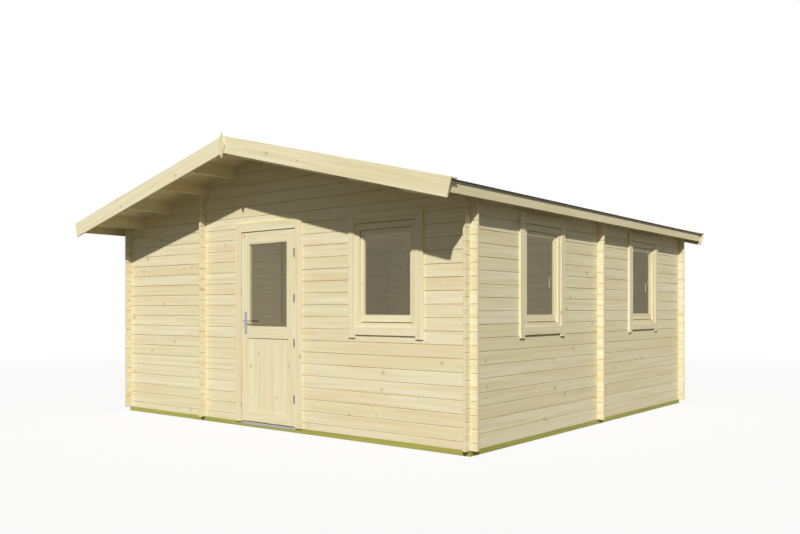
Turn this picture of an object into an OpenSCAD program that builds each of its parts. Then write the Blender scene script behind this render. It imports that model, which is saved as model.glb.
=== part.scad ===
// Log cabin: interlocked log walls on sill beams, a felted saddle roof on
// purlins, one glazed door and three windows.  Millimetres, +Z up, front
// towards -Y.  The origin is under the middle of the whole outline.

/* [Walls] */
// Width over the outer faces of the side walls
wall_w = 4880; // [4000:10:6000]
// Depth over the outer faces of the front and back walls
wall_d = 4860; // [4000:10:6000]
// Thickness of a log
log_t = 28; // [19:1:45]
// Height that each log covers
course_h = 114; // [100:1:140]
// Extra height of the lowest logs, which have no groove below
start_extra = 8; // [0:1:12]
// Number of logs in a side wall
side_courses = 19; // [18:1:23]
// Length of the log ends past a crossing wall
log_end = 70; // [40:5:120]
// Height of the V groove between two logs
groove_h = 8; // [3:1:12]
// Depth of that groove
groove_d = 4; // [1:0.5:6]
// Distance of the front cross logs from the middle, to the left
cross_x = 1018; // [900:2:1040]

/* [Foundation and floor] */
// Height of the sill beams and joists
sill_h = 48; // [38:1:95]
// Width of the sill beams
sill_w = 70; // [60:1:120]
// Chamfer on the outer corners of the sill beams
sill_chamfer = 20; // [0:1:40]
// Width of a floor joist
joist_w = 45; // [36:1:70]
// Number of floor joists
joist_count = 7; // [5:1:11]
// Thickness of the floor boards
floor_t = 19; // [16:1:28]
// Gap between the floor boards and the walls
floor_gap = 8; // [6:1:12]

/* [Roof] */
// Slope of the roof in degrees
pitch = 14; // [10:1:20]
// Height trimmed off the top logs of the side walls at their outer face
top_trim = 8; // [0:1:30]
// Distance of the fascia's face past the side walls
eave_over = 167; // [120:1:300]
// Overhang of the front gable, to the face of its barge boards
front_over = 583; // [300:1:700]
// Overhang of the back gable, to the face of its barge boards
back_over = 320; // [150:1:500]
// Thickness of the roof boards
deck_t = 19; // [16:1:28]
// Thickness of the roofing felt
felt_t = 11; // [3:1:14]
// Distance that the felt runs past the roof boards at the eave
felt_over = 13; // [5:1:30]
// Width of a purlin
purlin_w = 44; // [40:1:70]
// Height of a purlin
purlin_h = 131; // [100:1:145]
// Distance between the purlins next to the ridge, across the building
purlin_gap = 493; // [440:1:520]
// Distance of the outermost purlins from the inside of the side walls
purlin_edge = 255; // [200:5:400]
// Width of a barge board
barge_w = 160; // [120:1:220]
// Thickness of a barge board
barge_t = 19; // [16:1:28]
// Distance that the barge boards run past the eave
barge_past = 48; // [20:1:80]
// Height of the barge boards and rake caps over the felt
cap_h = 13; // [8:1:40]
// Width of a rake cap
cap_w = 70; // [40:1:90]
// Width of the gable diamond
diamond_w = 98; // [60:1:120]
// Height of the gable diamond
diamond_h = 250; // [180:5:320]
// Thickness of the gable diamond
diamond_t = 17; // [12:1:25]
// Distance of the diamond's middle below the peak of the barge boards
diamond_below = 94; // [80:1:110]
// Thickness of an eave fascia
fascia_t = 18; // [16:1:28]
// Height of an eave fascia
fascia_h = 74; // [60:1:95]

/* [Door] */
// Width of the door leaf
leaf_w = 780; // [700:2:960]
// Height of the door leaf
leaf_h = 1940; // [1900:5:1945]
// Thickness of the door leaf
leaf_t = 40; // [36:1:44]
// Gap around the door leaf
leaf_gap = 5; // [5:0.5:8]
// Distance of the leaf's bottom edge above the sill beams
leaf_base = 12; // [11:0.5:16]
// Distance of the leaf's face in front of the wall
leaf_out = 10; // [6:1:14]
// Width of the stiles
stile_w = 98; // [88:1:120]
// Height of the rails
rail_h = 105; // [90:1:130]
// Height of the lower panel between its rails
panel_h = 751; // [600:1:850]
// Width of the beads around the glass
bead_w = 16; // [10:1:22]
// Depth of the beads' faces below the leaf's face
bead_in = 6; // [3:1:8]
// Thickness of the lower panel
panel_t = 18; // [12:1:22]
// Depth of the grooves that hold glass and panels
bite = 8; // [5:1:8]
// Width of the door casing
door_casing_w = 90; // [70:1:110]
// Thickness of the door lining
lining_t = 30; // [24:1:40]
// Thickness of the casing boards
casing_t = 20; // [16:1:26]
// Width of the jamb left bare beside the leaf
reveal = 9; // [9:1:14]
// Width of the stop behind the leaf
stop_w = 14; // [12:1:20]
// Depth of the stop
stop_t = 13; // [10:1:20]
// Thickness of the threshold plate
threshold_t = 6; // [4:0.5:7]
// Height of the threshold's front lip
threshold_lip = 20; // [12:1:30]
// Radius of a hinge knuckle
knuckle_r = 6; // [5.5:0.5:7]
// Radius of a hinge pin
pin_r = 4; // [3:0.5:4]
// Height of a hinge
hinge_h = 80; // [60:2:100]
// Distance of the handle's spindle from the leaf's edge
spindle_in = 63; // [50:1:75]
// Height of the spindle above the leaf's bottom edge
spindle_up = 1031; // [950:1:1100]
// Width of a handle plate
plate_w = 38; // [30:1:45]
// Height of a handle plate
plate_h = 234; // [200:1:260]
// Thickness of a handle plate
plate_t = 8; // [5:1:10]
// Radius of the handle's neck
neck_r = 8; // [7:0.5:9]
// Length of the handle's neck from its plate to the middle of the lever
neck_l = 40; // [30:1:50]
// Length of the lever
lever_l = 112; // [90:1:130]

/* [Windows] */
// Width of a window frame
win_w = 700; // [600:5:800]
// Height of a window frame
win_h = 960; // [850:5:1000]
// Height of a window frame's bottom above the sill beams
win_base = 985; // [900:5:1000]
// Distance of the front window's middle from the middle of the wall
win_x = 1537; // [1400:1:1700]
// Width of a frame's sides
frame_side = 47; // [40:1:60]
// Height of a frame's head
frame_head = 60; // [50:1:70]
// Height of a frame's bottom rail
frame_foot = 56; // [50:1:80]
// Distance of a frame's face in front of the wall
frame_out = 10; // [4:1:12]
// Width of the stop behind a sash
sash_stop = 10; // [8:1:14]
// Gap around a sash
sash_gap = 3; // [2:0.5:4]
// Width of a sash's stiles
sash_w = 30; // [26:1:46]
// Height of a sash's head
sash_head = 40; // [30:1:50]
// Height of a sash's bottom rail
sash_foot = 61; // [46:1:66]
// Thickness of a sash
sash_t = 32; // [26:1:36]
// Thickness of all glass
glass_t = 4; // [3:1:5]
// Width of the upright casing boards
win_casing_w = 78; // [60:1:95]
// Height of the head board above a frame
head_board_h = 90; // [70:1:100]
// Distance that the upright boards run below a frame
casing_below = 84; // [70:1:110]
// Height of the apron board below a frame's rail
apron_h = 74; // [60:1:80]
// Distance that the apron board runs below a frame
apron_below = 55; // [40:1:65]

/* [Hidden] */
$fn = 32;

pine = [0.88, 0.83, 0.66];
treated = [0.56, 0.55, 0.25];
felt_grey = [0.2, 0.2, 0.2];
glass_tint = [0.42, 0.38, 0.3, 0.6];
steel = [0.6, 0.6, 0.62];
aluminium = [0.65, 0.65, 0.67];

LEFT = -1;
RIGHT = 1;
far = 20000;
// Overshoot of a cutting block
over = 1;
// Clearance between flat pieces that lie on each other on a slope
seat = 0.1;

// Whole outline along Y, measured from the outer face of the front wall
out_front = front_over + diamond_t;
out_back = wall_d + back_over + diamond_t;
// Places of the wall faces in the part's own frame
front_y = (out_front - out_back) / 2;
back_y = front_y + wall_d;
half_w = wall_w / 2;

// Joints between logs: gable walls start with half a log, side walls with one
gable_first = course_h / 2 + start_extra;
side_first = course_h + start_extra;

// Roof: height of the deck's underside over the wall's outer face and ridge
eave_z = sill_h + start_extra + side_courses * course_h - top_trim;
ridge_z = eave_z + half_w * tan(pitch);
deck_len = (half_w + eave_over) / cos(pitch);
barge_y = [front_y - front_over, back_y + back_over];
roof_y = [barge_y[0] + barge_t, barge_y[1] - barge_t];
barge_top = deck_t + felt_t + cap_h;
barge_len = deck_len + barge_past - barge_top * tan(pitch);
peak_z = ridge_z + barge_top / cos(pitch);
// Middles of the purlins on one side; the third stands between its neighbours
purlin_out = half_w - log_t - purlin_edge;
purlin_third = 0.53;
purlin_x = [purlin_gap, 2 * purlin_gap,
            2 * purlin_gap + purlin_third * (purlin_out - 2 * purlin_gap), purlin_out];
// The cross logs of the gable walls carry the second purlin
cross_top = ridge_z - purlin_x[1] * tan(pitch) - purlin_h;
cross_courses = floor((cross_top - sill_h - start_extra) / course_h + 1 / 4);

// Floor
floor_z = sill_h + floor_t;

// Door
leaf_z = sill_h + leaf_base;
leaf_y = front_y - leaf_out;
leaf_back_y = leaf_y + leaf_t;
stop_y = leaf_back_y + leaf_gap;
inner_casing_y = front_y + log_t;
inner_casing_t = max(stop_y + stop_t - inner_casing_y, floor_gap + 5);
jamb_x = leaf_w / 2 + leaf_gap;
door_hole_x = jamb_x + lining_t;
lining_top = leaf_z + leaf_h + leaf_gap + lining_t;
casing_x = leaf_w / 2 + reveal;
// The doorway is cut up to the first joint over the lining
door_log = ceil((lining_top - sill_h - gable_first) / course_h);
door_top = sill_h + gable_first + door_log * course_h;
hinge_x = leaf_w / 2 + leaf_gap / 2;
hinge_y = front_y - casing_t;
hinge_up = [271, 823, 1262, 1708];
pin_clear = 0.05;
pin_end_gap = 1;
knuckle_gap = 0.3;
knuckle_cap = 7;
flap_t = 2;
flap_d = 30;
lip_t = 3;
plate_drop = 15;
glass_open_w = leaf_w - 2 * stile_w - 2 * bead_w;
glass_open_z = leaf_z + 2 * rail_h + panel_h + bead_w;
glass_open_h = leaf_h - 3 * rail_h - panel_h - 2 * bead_w;
panel_z = leaf_z + rail_h;
panel_w = leaf_w - 2 * stile_w;
spindle_x = -leaf_w / 2 + spindle_in;
spindle_z = leaf_z + spindle_up;
spindle_r = 4;
spindle_clear = 1;
neck_gap = 0.3;
neck_end_gap = 0.5;
lever_r = 7;

// Windows
win_z = sill_h + win_base;
win_top = win_z + win_h;
settle_gap = 12;
sash_stop_t = 6;
glass_in = 7;
// Measured from the wall's outer face inwards
frame_back = log_t + casing_t;
stop_from = frame_back - sash_stop_t;
side_window_y = [front_y + wall_d / 4, front_y + 3 * wall_d / 4];

// ---- Helpers ----

// Box between two corners
module block(low, high) {
    translate(low) cube(high - low);
}

// Outline in X and Z, drawn out along Y from y0 to y1
module along_y(y0, y1) {
    translate([0, y1, 0]) rotate([90, 0, 0]) linear_extrude(y1 - y0) children();
}

// Same outline, drawn out along X from x0 to x1 (its first axis runs along Y)
module along_x(x0, x1) {
    translate([x0, 0, 0]) rotate([90, 0, 90]) linear_extrude(x1 - x0) children();
}

// Cylinder along Y
module rod_y(x, z, y0, y1, r) {
    translate([x, y1, z]) rotate([90, 0, 0]) cylinder(h = y1 - y0, r = r);
}

// ---- Log walls ----

// One V groove's points, on a face at a with the groove going towards a + d
function groove(a, d, z) = [[a, z - groove_h / 2], [a + d, z], [a, z + groove_h / 2]];

// Section of a stack of logs, from the face at a to the one log_t further
function log_section(a, first, top) =
    let (joints = [for (z = [sill_h + first : course_h : top - groove_h]) z],
         n = len(joints))
    concat(
        [[a, sill_h]],
        [for (i = [0 : n - 1]) each groove(a, groove_d, joints[i])],
        [[a, top], [a + log_t, top]],
        [for (i = [n - 1 : -1 : 0]) for (k = [2 : -1 : 0])
            groove(a + log_t, -groove_d, joints[i])[k]],
        [[a + log_t, sill_h]]);

// Everything below the roof boards
module under_roof() {
    along_y(front_y - 2 * log_end, back_y + 2 * log_end)
        polygon([[-half_w - 2 * log_end, 0], [half_w + 2 * log_end, 0],
                 [half_w + 2 * log_end, ridge_z - (half_w + 2 * log_end) * tan(pitch)],
                 [0, ridge_z],
                 [-half_w - 2 * log_end, ridge_z - (half_w + 2 * log_end) * tan(pitch)]]);
}

// Blocks of one set of logs where two walls cross: the middle half of each log
module crossing(x, y, first, courses) {
    for (k = [0 : courses - 1]) {
        middle = sill_h + first - course_h / 2 + k * course_h;
        z0 = max(middle - course_h / 4, sill_h - over);
        block([x, y, z0], [x + log_t, y + log_t, middle + course_h / 4]);
    }
}

// Where the side walls and the cross logs pass through a gable wall at y
module gable_crossings(y) {
    for (x = [-half_w, half_w - log_t]) crossing(x, y, side_first, side_courses);
    crossing(-cross_x - log_t / 2, y, side_first, cross_courses);
}

// Where the gable walls and the cross logs pass through a side wall at x
module side_crossings(x) {
    for (y = [front_y, wall_mid_y() - log_t / 2, back_y - log_t])
        crossing(x, y, gable_first, side_courses + 1);
}

function wall_mid_y() = (front_y + back_y) / 2;

// Purlin in its place, s is its side and n its number counted from the ridge
module purlin(s, n) {
    x = purlin_x[n];
    z0 = ridge_z - x * tan(pitch);
    fall = purlin_w / 2 * tan(pitch);
    along_y(roof_y[0], roof_y[1])
        polygon([[s * (x - purlin_w / 2), z0 - purlin_h],
                 [s * (x + purlin_w / 2), z0 - purlin_h],
                 [s * (x + purlin_w / 2), z0 - fall],
                 [s * (x - purlin_w / 2), z0 + fall]]);
}

module ridge_beam() {
    fall = purlin_w / 2 * tan(pitch);
    along_y(roof_y[0], roof_y[1])
        polygon([[-purlin_w / 2, ridge_z - purlin_h - fall],
                 [purlin_w / 2, ridge_z - purlin_h - fall],
                 [purlin_w / 2, ridge_z - fall], [0, ridge_z],
                 [-purlin_w / 2, ridge_z - fall]]);
}

module all_purlins() {
    ridge_beam();
    for (s = [LEFT, RIGHT], n = [0 : len(purlin_x) - 1]) purlin(s, n);
}

// A gable wall whose outer or inner face is at y, whole, up to the roof
module gable_logs(y) {
    difference() {
        intersection() {
            along_x(-half_w - log_end, half_w + log_end)
                polygon(log_section(y, gable_first, ridge_z));
            under_roof();
        }
        gable_crossings(y);
    }
}

// Part of the front wall between two distances and two heights
module front_part(x0, x1, z0, z1) {
    color(pine) difference() {
        intersection() {
            gable_logs(front_y);
            block([x0, front_y - over, z0], [x1, front_y + log_t + over, z1]);
        }
        all_purlins();
    }
}

module front_wall_left() {
    front_part(-far, -door_hole_x, 0, door_top);
}

module front_wall_lower_right() {
    front_part(door_hole_x, far, 0, win_z);
}

module front_wall_middle() {
    front_part(door_hole_x, win_x - win_w / 2, win_z, door_top);
}

module front_wall_right() {
    front_part(win_x + win_w / 2, far, win_z, door_top);
}

module front_gable() {
    front_part(-far, far, door_top, far);
}

module back_wall() {
    color(pine) difference() {
        gable_logs(back_y - log_t);
        all_purlins();
    }
}

// A side wall with its outer face at s * half_w, whole
module side_logs(s) {
    x = s == LEFT ? -half_w : half_w - log_t;
    difference() {
        intersection() {
            along_y(front_y - log_end, back_y + log_end)
                polygon(log_section(x, side_first,
                                    eave_z + log_t * tan(pitch)));
            under_roof();
        }
        side_crossings(x);
    }
}

// Part of the right wall between two places and two heights
module right_part(y0, y1, z0, z1) {
    color(pine) intersection() {
        side_logs(RIGHT);
        block([half_w - log_t - over, y0, z0], [half_w + over, y1, z1]);
    }
}

side_hole_top = win_top + settle_gap;

module left_wall() {
    color(pine) side_logs(LEFT);
}

module right_wall_lower() {
    right_part(-far, far, 0, win_z);
}

module right_wall_front() {
    right_part(-far, side_window_y[0] - win_w / 2, win_z, side_hole_top);
}

module right_wall_middle() {
    right_part(side_window_y[0] + win_w / 2, side_window_y[1] - win_w / 2,
               win_z, side_hole_top);
}

module right_wall_back() {
    right_part(side_window_y[1] + win_w / 2, far, win_z, side_hole_top);
}

module right_wall_upper() {
    right_part(-far, far, side_hole_top, far);
}

// Short cross logs that lock the front and back walls
module cross_logs_gables() {
    x = -cross_x - log_t / 2;
    // Above its last crossing log the gable wall runs through whole
    whole_z = sill_h + start_extra + (cross_courses - 1 / 4) * course_h;
    color(pine) for (y = [front_y, back_y - log_t])
        difference() {
            along_y(y - log_end, y + log_t + log_end)
                polygon(log_section(x, side_first, cross_top));
            crossing(x, y, gable_first, cross_courses);
            block([x, y, whole_z], [x + log_t, y + log_t, far]);
        }
}

// Short cross logs that lock the side walls
module cross_logs_sides() {
    y = wall_mid_y() - log_t / 2;
    color(pine) for (s = [LEFT, RIGHT]) {
        x = s == LEFT ? -half_w : half_w - log_t;
        difference() {
            intersection() {
                along_x(x - log_end, x + log_t + log_end)
                    polygon(log_section(y, gable_first, ridge_z));
                under_roof();
            }
            crossing(x, y, side_first, side_courses);
        }
    }
}

// ---- Foundation and floor ----

// Beam along X with mitred ends, its outer face towards -Y at 0
module sill_beam(length) {
    h = length / 2;
    linear_extrude(sill_h)
        polygon([[-h + sill_chamfer, 0], [h - sill_chamfer, 0],
                 [h - sill_chamfer / 2, sill_chamfer / 2],
                 [h - sill_w, sill_w], [-h + sill_w, sill_w],
                 [-h + sill_chamfer / 2, sill_chamfer / 2]]);
}

module sill_beams_gables() {
    color(treated) {
        translate([0, front_y, 0]) sill_beam(wall_w);
        translate([0, back_y, 0]) rotate([0, 0, 180]) sill_beam(wall_w);
    }
}

module sill_beams_sides() {
    color(treated) {
        translate([-half_w, wall_mid_y(), 0]) rotate([0, 0, -90]) sill_beam(wall_d);
        translate([half_w, wall_mid_y(), 0]) rotate([0, 0, 90]) sill_beam(wall_d);
    }
}

module floor_joists() {
    step = (wall_d - 2 * sill_w) / (joist_count + 1);
    color(treated) for (k = [1 : joist_count]) {
        y = front_y + sill_w + k * step;
        block([-half_w + sill_w, y - joist_w / 2, 0],
              [half_w - sill_w, y + joist_w / 2, sill_h]);
    }
}

module floor_boards() {
    edge = log_t + floor_gap;
    stub = log_t + log_end + floor_gap;
    color(pine) difference() {
        block([-half_w + edge, front_y + edge, sill_h],
              [half_w - edge, back_y - edge, floor_z]);
        for (y = [front_y, back_y - stub])
            block([-cross_x - log_t / 2 - floor_gap, y, 0],
                  [-cross_x + log_t / 2 + floor_gap, y + stub, far]);
        for (x = [-half_w, half_w - stub])
            block([x, wall_mid_y() - log_t / 2 - floor_gap, 0],
                  [x + stub, wall_mid_y() + log_t / 2 + floor_gap, far]);
    }
}

// ---- Roof ----

// Point on a slope: a along it from the ridge, b square out from the underside
function on_slope(s, a, b) =
    [s * (a * cos(pitch) + b * sin(pitch)),
     ridge_z - a * sin(pitch) + b * cos(pitch)];

// Layer on one slope from the ridge to a, between two heights b0 and b1
module slope_layer(s, a, b0, b1) {
    polygon([[0, ridge_z + b0 / cos(pitch)], on_slope(s, a, b0),
             on_slope(s, a, b1), [0, ridge_z + b1 / cos(pitch)]]);
}

module ridge_purlin() {
    color(pine) ridge_beam();
}

module purlins_left() {
    color(pine) for (n = [0 : len(purlin_x) - 1]) purlin(LEFT, n);
}

module purlins_right() {
    color(pine) for (n = [0 : len(purlin_x) - 1]) purlin(RIGHT, n);
}

module roof_deck(s) {
    color(pine) along_y(roof_y[0], roof_y[1]) slope_layer(s, deck_len, seat, deck_t);
}

module roof_deck_left() {
    roof_deck(LEFT);
}

module roof_deck_right() {
    roof_deck(RIGHT);
}

module felt(s) {
    color(felt_grey) along_y(roof_y[0], roof_y[1])
        slope_layer(s, deck_len + felt_over, deck_t + seat, deck_t + felt_t);
}

module felt_left() {
    felt(LEFT);
}

module felt_right() {
    felt(RIGHT);
}

// Barge board on slope s with its outer face at y, towards d along Y
module barge(s, y, d) {
    color(pine) along_y(min(y, y + d * barge_t), max(y, y + d * barge_t))
        slope_layer(s, barge_len, barge_top - barge_w, barge_top);
}

module barge_front_left() {
    barge(LEFT, barge_y[0], 1);
}

module barge_front_right() {
    barge(RIGHT, barge_y[0], 1);
}

module barge_back_left() {
    barge(LEFT, barge_y[1], -1);
}

module barge_back_right() {
    barge(RIGHT, barge_y[1], -1);
}

module rake_caps(s) {
    color(pine) for (y = [roof_y[0], roof_y[1] - cap_w])
        along_y(y, y + cap_w)
            slope_layer(s, barge_len, deck_t + felt_t + seat, barge_top);
}

module rake_caps_left() {
    rake_caps(LEFT);
}

module rake_caps_right() {
    rake_caps(RIGHT);
}

module gable_diamonds() {
    z = peak_z - diamond_below;
    color(pine) for (y = [barge_y[0] - diamond_t, barge_y[1]])
        along_y(y, y + diamond_t)
            polygon([[0, z - diamond_h / 2], [diamond_w / 2, z],
                     [0, z + diamond_h / 2], [-diamond_w / 2, z]]);
}

// Upright boards under the roof boards' edges
module eave_fascias() {
    x1 = half_w + eave_over;
    x0 = x1 - fascia_t;
    top = ridge_z - x1 * tan(pitch);
    color(pine) for (s = [LEFT, RIGHT])
        along_y(roof_y[0], roof_y[1])
            polygon([[s * x0, top - fascia_h], [s * x1, top - fascia_h], [s * x1, top],
                     [s * x0, ridge_z - x0 * tan(pitch)]]);
}

// ---- Door ----

// Upright side of the door frame, s is its side
module door_jamb(s) {
    color(pine) mirror([s == LEFT ? 1 : 0, 0, 0]) {
        // Lining in the wall's thickness
        block([jamb_x, front_y, sill_h],
              [door_hole_x, inner_casing_y, lining_top]);
        // Casing on the outside
        block([casing_x, front_y - casing_t, sill_h],
              [casing_x + door_casing_w, front_y,
               leaf_z + leaf_h + reveal + door_casing_w]);
        // Casing on the inside, and the stop that it makes
        block([jamb_x, inner_casing_y, floor_z],
              [casing_x + door_casing_w, inner_casing_y + inner_casing_t,
               leaf_z + leaf_h + reveal + door_casing_w]);
        block([jamb_x - leaf_gap - stop_w, stop_y, floor_z],
              [jamb_x, stop_y + stop_t, leaf_z + leaf_h - stop_w]);
    }
}

module door_jamb_left() {
    door_jamb(LEFT);
}

module door_jamb_right() {
    door_jamb(RIGHT);
}

module door_head() {
    head_z = leaf_z + leaf_h;
    color(pine) {
        block([-jamb_x, front_y, head_z + leaf_gap],
              [jamb_x, inner_casing_y, lining_top]);
        block([-casing_x, front_y - casing_t, head_z + reveal],
              [casing_x, front_y, head_z + reveal + door_casing_w]);
        block([-jamb_x, inner_casing_y, head_z + leaf_gap],
              [jamb_x, inner_casing_y + inner_casing_t,
               head_z + reveal + door_casing_w]);
        block([-jamb_x, stop_y, head_z - stop_w],
              [jamb_x, stop_y + stop_t, head_z + leaf_gap]);
    }
}

module door_threshold() {
    color(aluminium) {
        block([-jamb_x, front_y - casing_t, sill_h],
              [jamb_x, front_y + log_t, sill_h + threshold_t]);
        block([-jamb_x, front_y - lip_t, sill_h - threshold_lip],
              [jamb_x, front_y, sill_h]);
    }
}

// Pins and lower knuckles, on flaps against the right jamb
module hinge_pins() {
    color(steel) for (up = hinge_up) {
        z = leaf_z + up;
        translate([hinge_x, hinge_y, z - hinge_h / 2])
            cylinder(h = hinge_h / 2 - knuckle_gap, r = knuckle_r);
        translate([hinge_x, hinge_y, z - hinge_h / 2])
            cylinder(h = hinge_h - knuckle_cap - pin_end_gap, r = pin_r);
        block([jamb_x - flap_t, hinge_y, z - hinge_h / 2],
              [jamb_x, front_y + flap_d, z - knuckle_gap]);
    }
}

// Upper knuckles, on flaps against the leaf's edge
module hinge_knuckles() {
    color(steel) for (up = hinge_up) {
        z = leaf_z + up;
        difference() {
            union() {
                translate([hinge_x, hinge_y, z])
                    cylinder(h = hinge_h / 2, r = knuckle_r);
                block([leaf_w / 2, hinge_y, z],
                      [leaf_w / 2 + flap_t, front_y + flap_d - leaf_out, z + hinge_h / 2]);
            }
            translate([hinge_x, hinge_y, z - over])
                cylinder(h = hinge_h / 2 - knuckle_cap + over, r = pin_r + pin_clear);
        }
    }
}

module door_leaf() {
    mid_y = leaf_y + leaf_t / 2;
    bead_x = glass_open_w / 2 + bead_w;
    color(pine) difference() {
        block([-leaf_w / 2, leaf_y, leaf_z], [leaf_w / 2, leaf_back_y, leaf_z + leaf_h]);
        // Glass: the opening, the sunk beads on both faces and the groove
        block([-glass_open_w / 2, leaf_y - over, glass_open_z],
              [glass_open_w / 2, leaf_back_y + over, glass_open_z + glass_open_h]);
        for (y = [leaf_y - bead_in, leaf_back_y - bead_in])
            block([-bead_x, y, glass_open_z - bead_w],
                  [bead_x, y + 2 * bead_in, glass_open_z + glass_open_h + bead_w]);
        block([-glass_open_w / 2 - bite, mid_y - glass_t / 2, glass_open_z - bite],
              [glass_open_w / 2 + bite, mid_y + glass_t / 2, glass_open_z + glass_open_h + bite]);
        // Panel: the opening and the groove
        block([-panel_w / 2, leaf_y - over, panel_z],
              [panel_w / 2, leaf_back_y + over, panel_z + panel_h]);
        block([-panel_w / 2 - bite, mid_y - panel_t / 2, panel_z - bite],
              [panel_w / 2 + bite, mid_y + panel_t / 2, panel_z + panel_h + bite]);
        rod_y(spindle_x, spindle_z, leaf_y - over, leaf_back_y + over,
              spindle_r + spindle_clear);
    }
}

module door_glass() {
    mid_y = leaf_y + leaf_t / 2;
    color(glass_tint)
        block([-glass_open_w / 2 - bite, mid_y - glass_t / 2, glass_open_z - bite],
              [glass_open_w / 2 + bite, mid_y + glass_t / 2, glass_open_z + glass_open_h + bite]);
}

module door_panel() {
    mid_y = leaf_y + leaf_t / 2;
    color(pine)
        block([-panel_w / 2 - bite, mid_y - panel_t / 2, panel_z - bite],
              [panel_w / 2 + bite, mid_y + panel_t / 2, panel_z + panel_h + bite]);
}

// Handle plates on both faces of the leaf, with the hole for the neck
module handle_plates() {
    color(steel) for (y = [leaf_y - plate_t, leaf_back_y])
        difference() {
            block([spindle_x - plate_w / 2, y, spindle_z - plate_drop - plate_h / 2],
                  [spindle_x + plate_w / 2, y + plate_t,
                   spindle_z - plate_drop + plate_h / 2]);
            rod_y(spindle_x, spindle_z, y - over, y + plate_t + over, neck_r + neck_gap);
        }
}

// Spindle with a lever at each end, as one piece
module door_lever() {
    out_y = leaf_y - plate_t - neck_l;
    in_y = leaf_back_y + plate_t + neck_l;
    color(steel) {
        rod_y(spindle_x, spindle_z, out_y, in_y, spindle_r);
        rod_y(spindle_x, spindle_z, out_y - lever_r, leaf_y - neck_end_gap, neck_r);
        rod_y(spindle_x, spindle_z, leaf_back_y + neck_end_gap, in_y + lever_r, neck_r);
        for (y = [out_y, in_y])
            translate([spindle_x, y, spindle_z]) rotate([0, 90, 0])
                cylinder(h = lever_l, r = lever_r);
    }
}

// ---- Windows, drawn for the front wall with their middle at 0 and the ----
// ---- wall's outer face at y 0, then put in place                      ----

module window_frame() {
    x = win_w / 2;
    inner_x = x - frame_side;
    inner_z0 = win_z + frame_foot;
    inner_z1 = win_top - frame_head;
    color(pine) {
        difference() {
            block([-x, -frame_out, win_z], [x, frame_back, win_top]);
            block([-inner_x, -frame_out - over, inner_z0],
                  [inner_x, stop_from, inner_z1]);
            block([-inner_x + sash_stop, stop_from - over, inner_z0 + sash_stop],
                  [inner_x - sash_stop, frame_back + over, inner_z1 - sash_stop]);
        }
        // Upright boards and head board outside
        for (s = [LEFT, RIGHT])
            block([s == LEFT ? -x - win_casing_w : x, -casing_t, win_z - casing_below],
                  [s == LEFT ? -x : x + win_casing_w, 0, win_top + head_board_h]);
        block([-x, -casing_t, win_top], [x, 0, win_top + head_board_h]);
        // Apron board under the frame
        block([-x, -casing_t, win_z - apron_below],
              [x, 0, win_z - apron_below + apron_h]);
        // Boards inside
        for (s = [LEFT, RIGHT])
            block([s == LEFT ? -x - win_casing_w : x, log_t, win_z - apron_below],
                  [s == LEFT ? -x : x + win_casing_w, frame_back, win_top + head_board_h]);
        block([-x, log_t, win_top], [x, frame_back, win_top + head_board_h]);
        block([-x, log_t, win_z - apron_below], [x, frame_back, win_z]);
    }
}

// Half width, lowest and highest edge of a sash
sash_x = win_w / 2 - frame_side - sash_gap;
sash_z0 = win_z + frame_foot + sash_gap;
sash_z1 = win_top - frame_head - sash_gap;

module window_pane() {
    y = stop_from - sash_t + glass_in;
    block([-sash_x + sash_w - bite, y, sash_z0 + sash_foot - bite],
          [sash_x - sash_w + bite, y + glass_t, sash_z1 - sash_head + bite]);
}

module window_sash() {
    color(pine) difference() {
        block([-sash_x, stop_from - sash_t, sash_z0], [sash_x, stop_from, sash_z1]);
        block([-sash_x + sash_w, -far, sash_z0 + sash_foot],
              [sash_x - sash_w, far, sash_z1 - sash_head]);
        window_pane();
    }
}

module window_glass() {
    color(glass_tint) window_pane();
}

module at_front() {
    translate([win_x, front_y, 0]) children();
}

module at_side(n) {
    translate([half_w, side_window_y[n], 0]) rotate([0, 0, 90]) children();
}

module front_window_frame() {
    at_front() window_frame();
}

module front_window_sash() {
    at_front() window_sash();
}

module front_window_glass() {
    at_front() window_glass();
}

module side_window_1_frame() {
    at_side(0) window_frame();
}

module side_window_1_sash() {
    at_side(0) window_sash();
}

module side_window_1_glass() {
    at_side(0) window_glass();
}

module side_window_2_frame() {
    at_side(1) window_frame();
}

module side_window_2_sash() {
    at_side(1) window_sash();
}

module side_window_2_glass() {
    at_side(1) window_glass();
}

sill_beams_gables();
sill_beams_sides();
floor_joists();
floor_boards();
front_wall_left();
front_wall_lower_right();
front_wall_middle();
front_wall_right();
front_gable();
back_wall();
left_wall();
right_wall_lower();
right_wall_front();
right_wall_middle();
right_wall_back();
right_wall_upper();
cross_logs_gables();
cross_logs_sides();
ridge_purlin();
purlins_left();
purlins_right();
roof_deck_left();
roof_deck_right();
felt_left();
felt_right();
barge_front_left();
barge_front_right();
barge_back_left();
barge_back_right();
rake_caps_left();
rake_caps_right();
gable_diamonds();
eave_fascias();
door_jamb_left();
door_jamb_right();
door_head();
door_threshold();
hinge_pins();
hinge_knuckles();
door_leaf();
door_glass();
door_panel();
handle_plates();
door_lever();
front_window_frame();
front_window_sash();
front_window_glass();
side_window_1_frame();
side_window_1_sash();
side_window_1_glass();
side_window_2_frame();
side_window_2_sash();
side_window_2_glass();
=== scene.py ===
"""Looks of a log cabin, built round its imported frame.

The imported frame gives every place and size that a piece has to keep, and the
dataclass fields hold the sizes of what the frame leaves out: board widths,
joints, roundings, screws and finishes.  All lengths are in metres.

Wooden pieces carry two attributes.  `grain` is the place of a point inside the
tree that its board was sawn from (along the trunk, and two across it), and
`tint` is how dark that board is.  The pine finish reads both, so the rings run
along every board and show as arcs on its ends.
"""

from __future__ import annotations

import logging
import math
from collections.abc import Sequence
from dataclasses import dataclass, field
from enum import Enum

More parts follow.
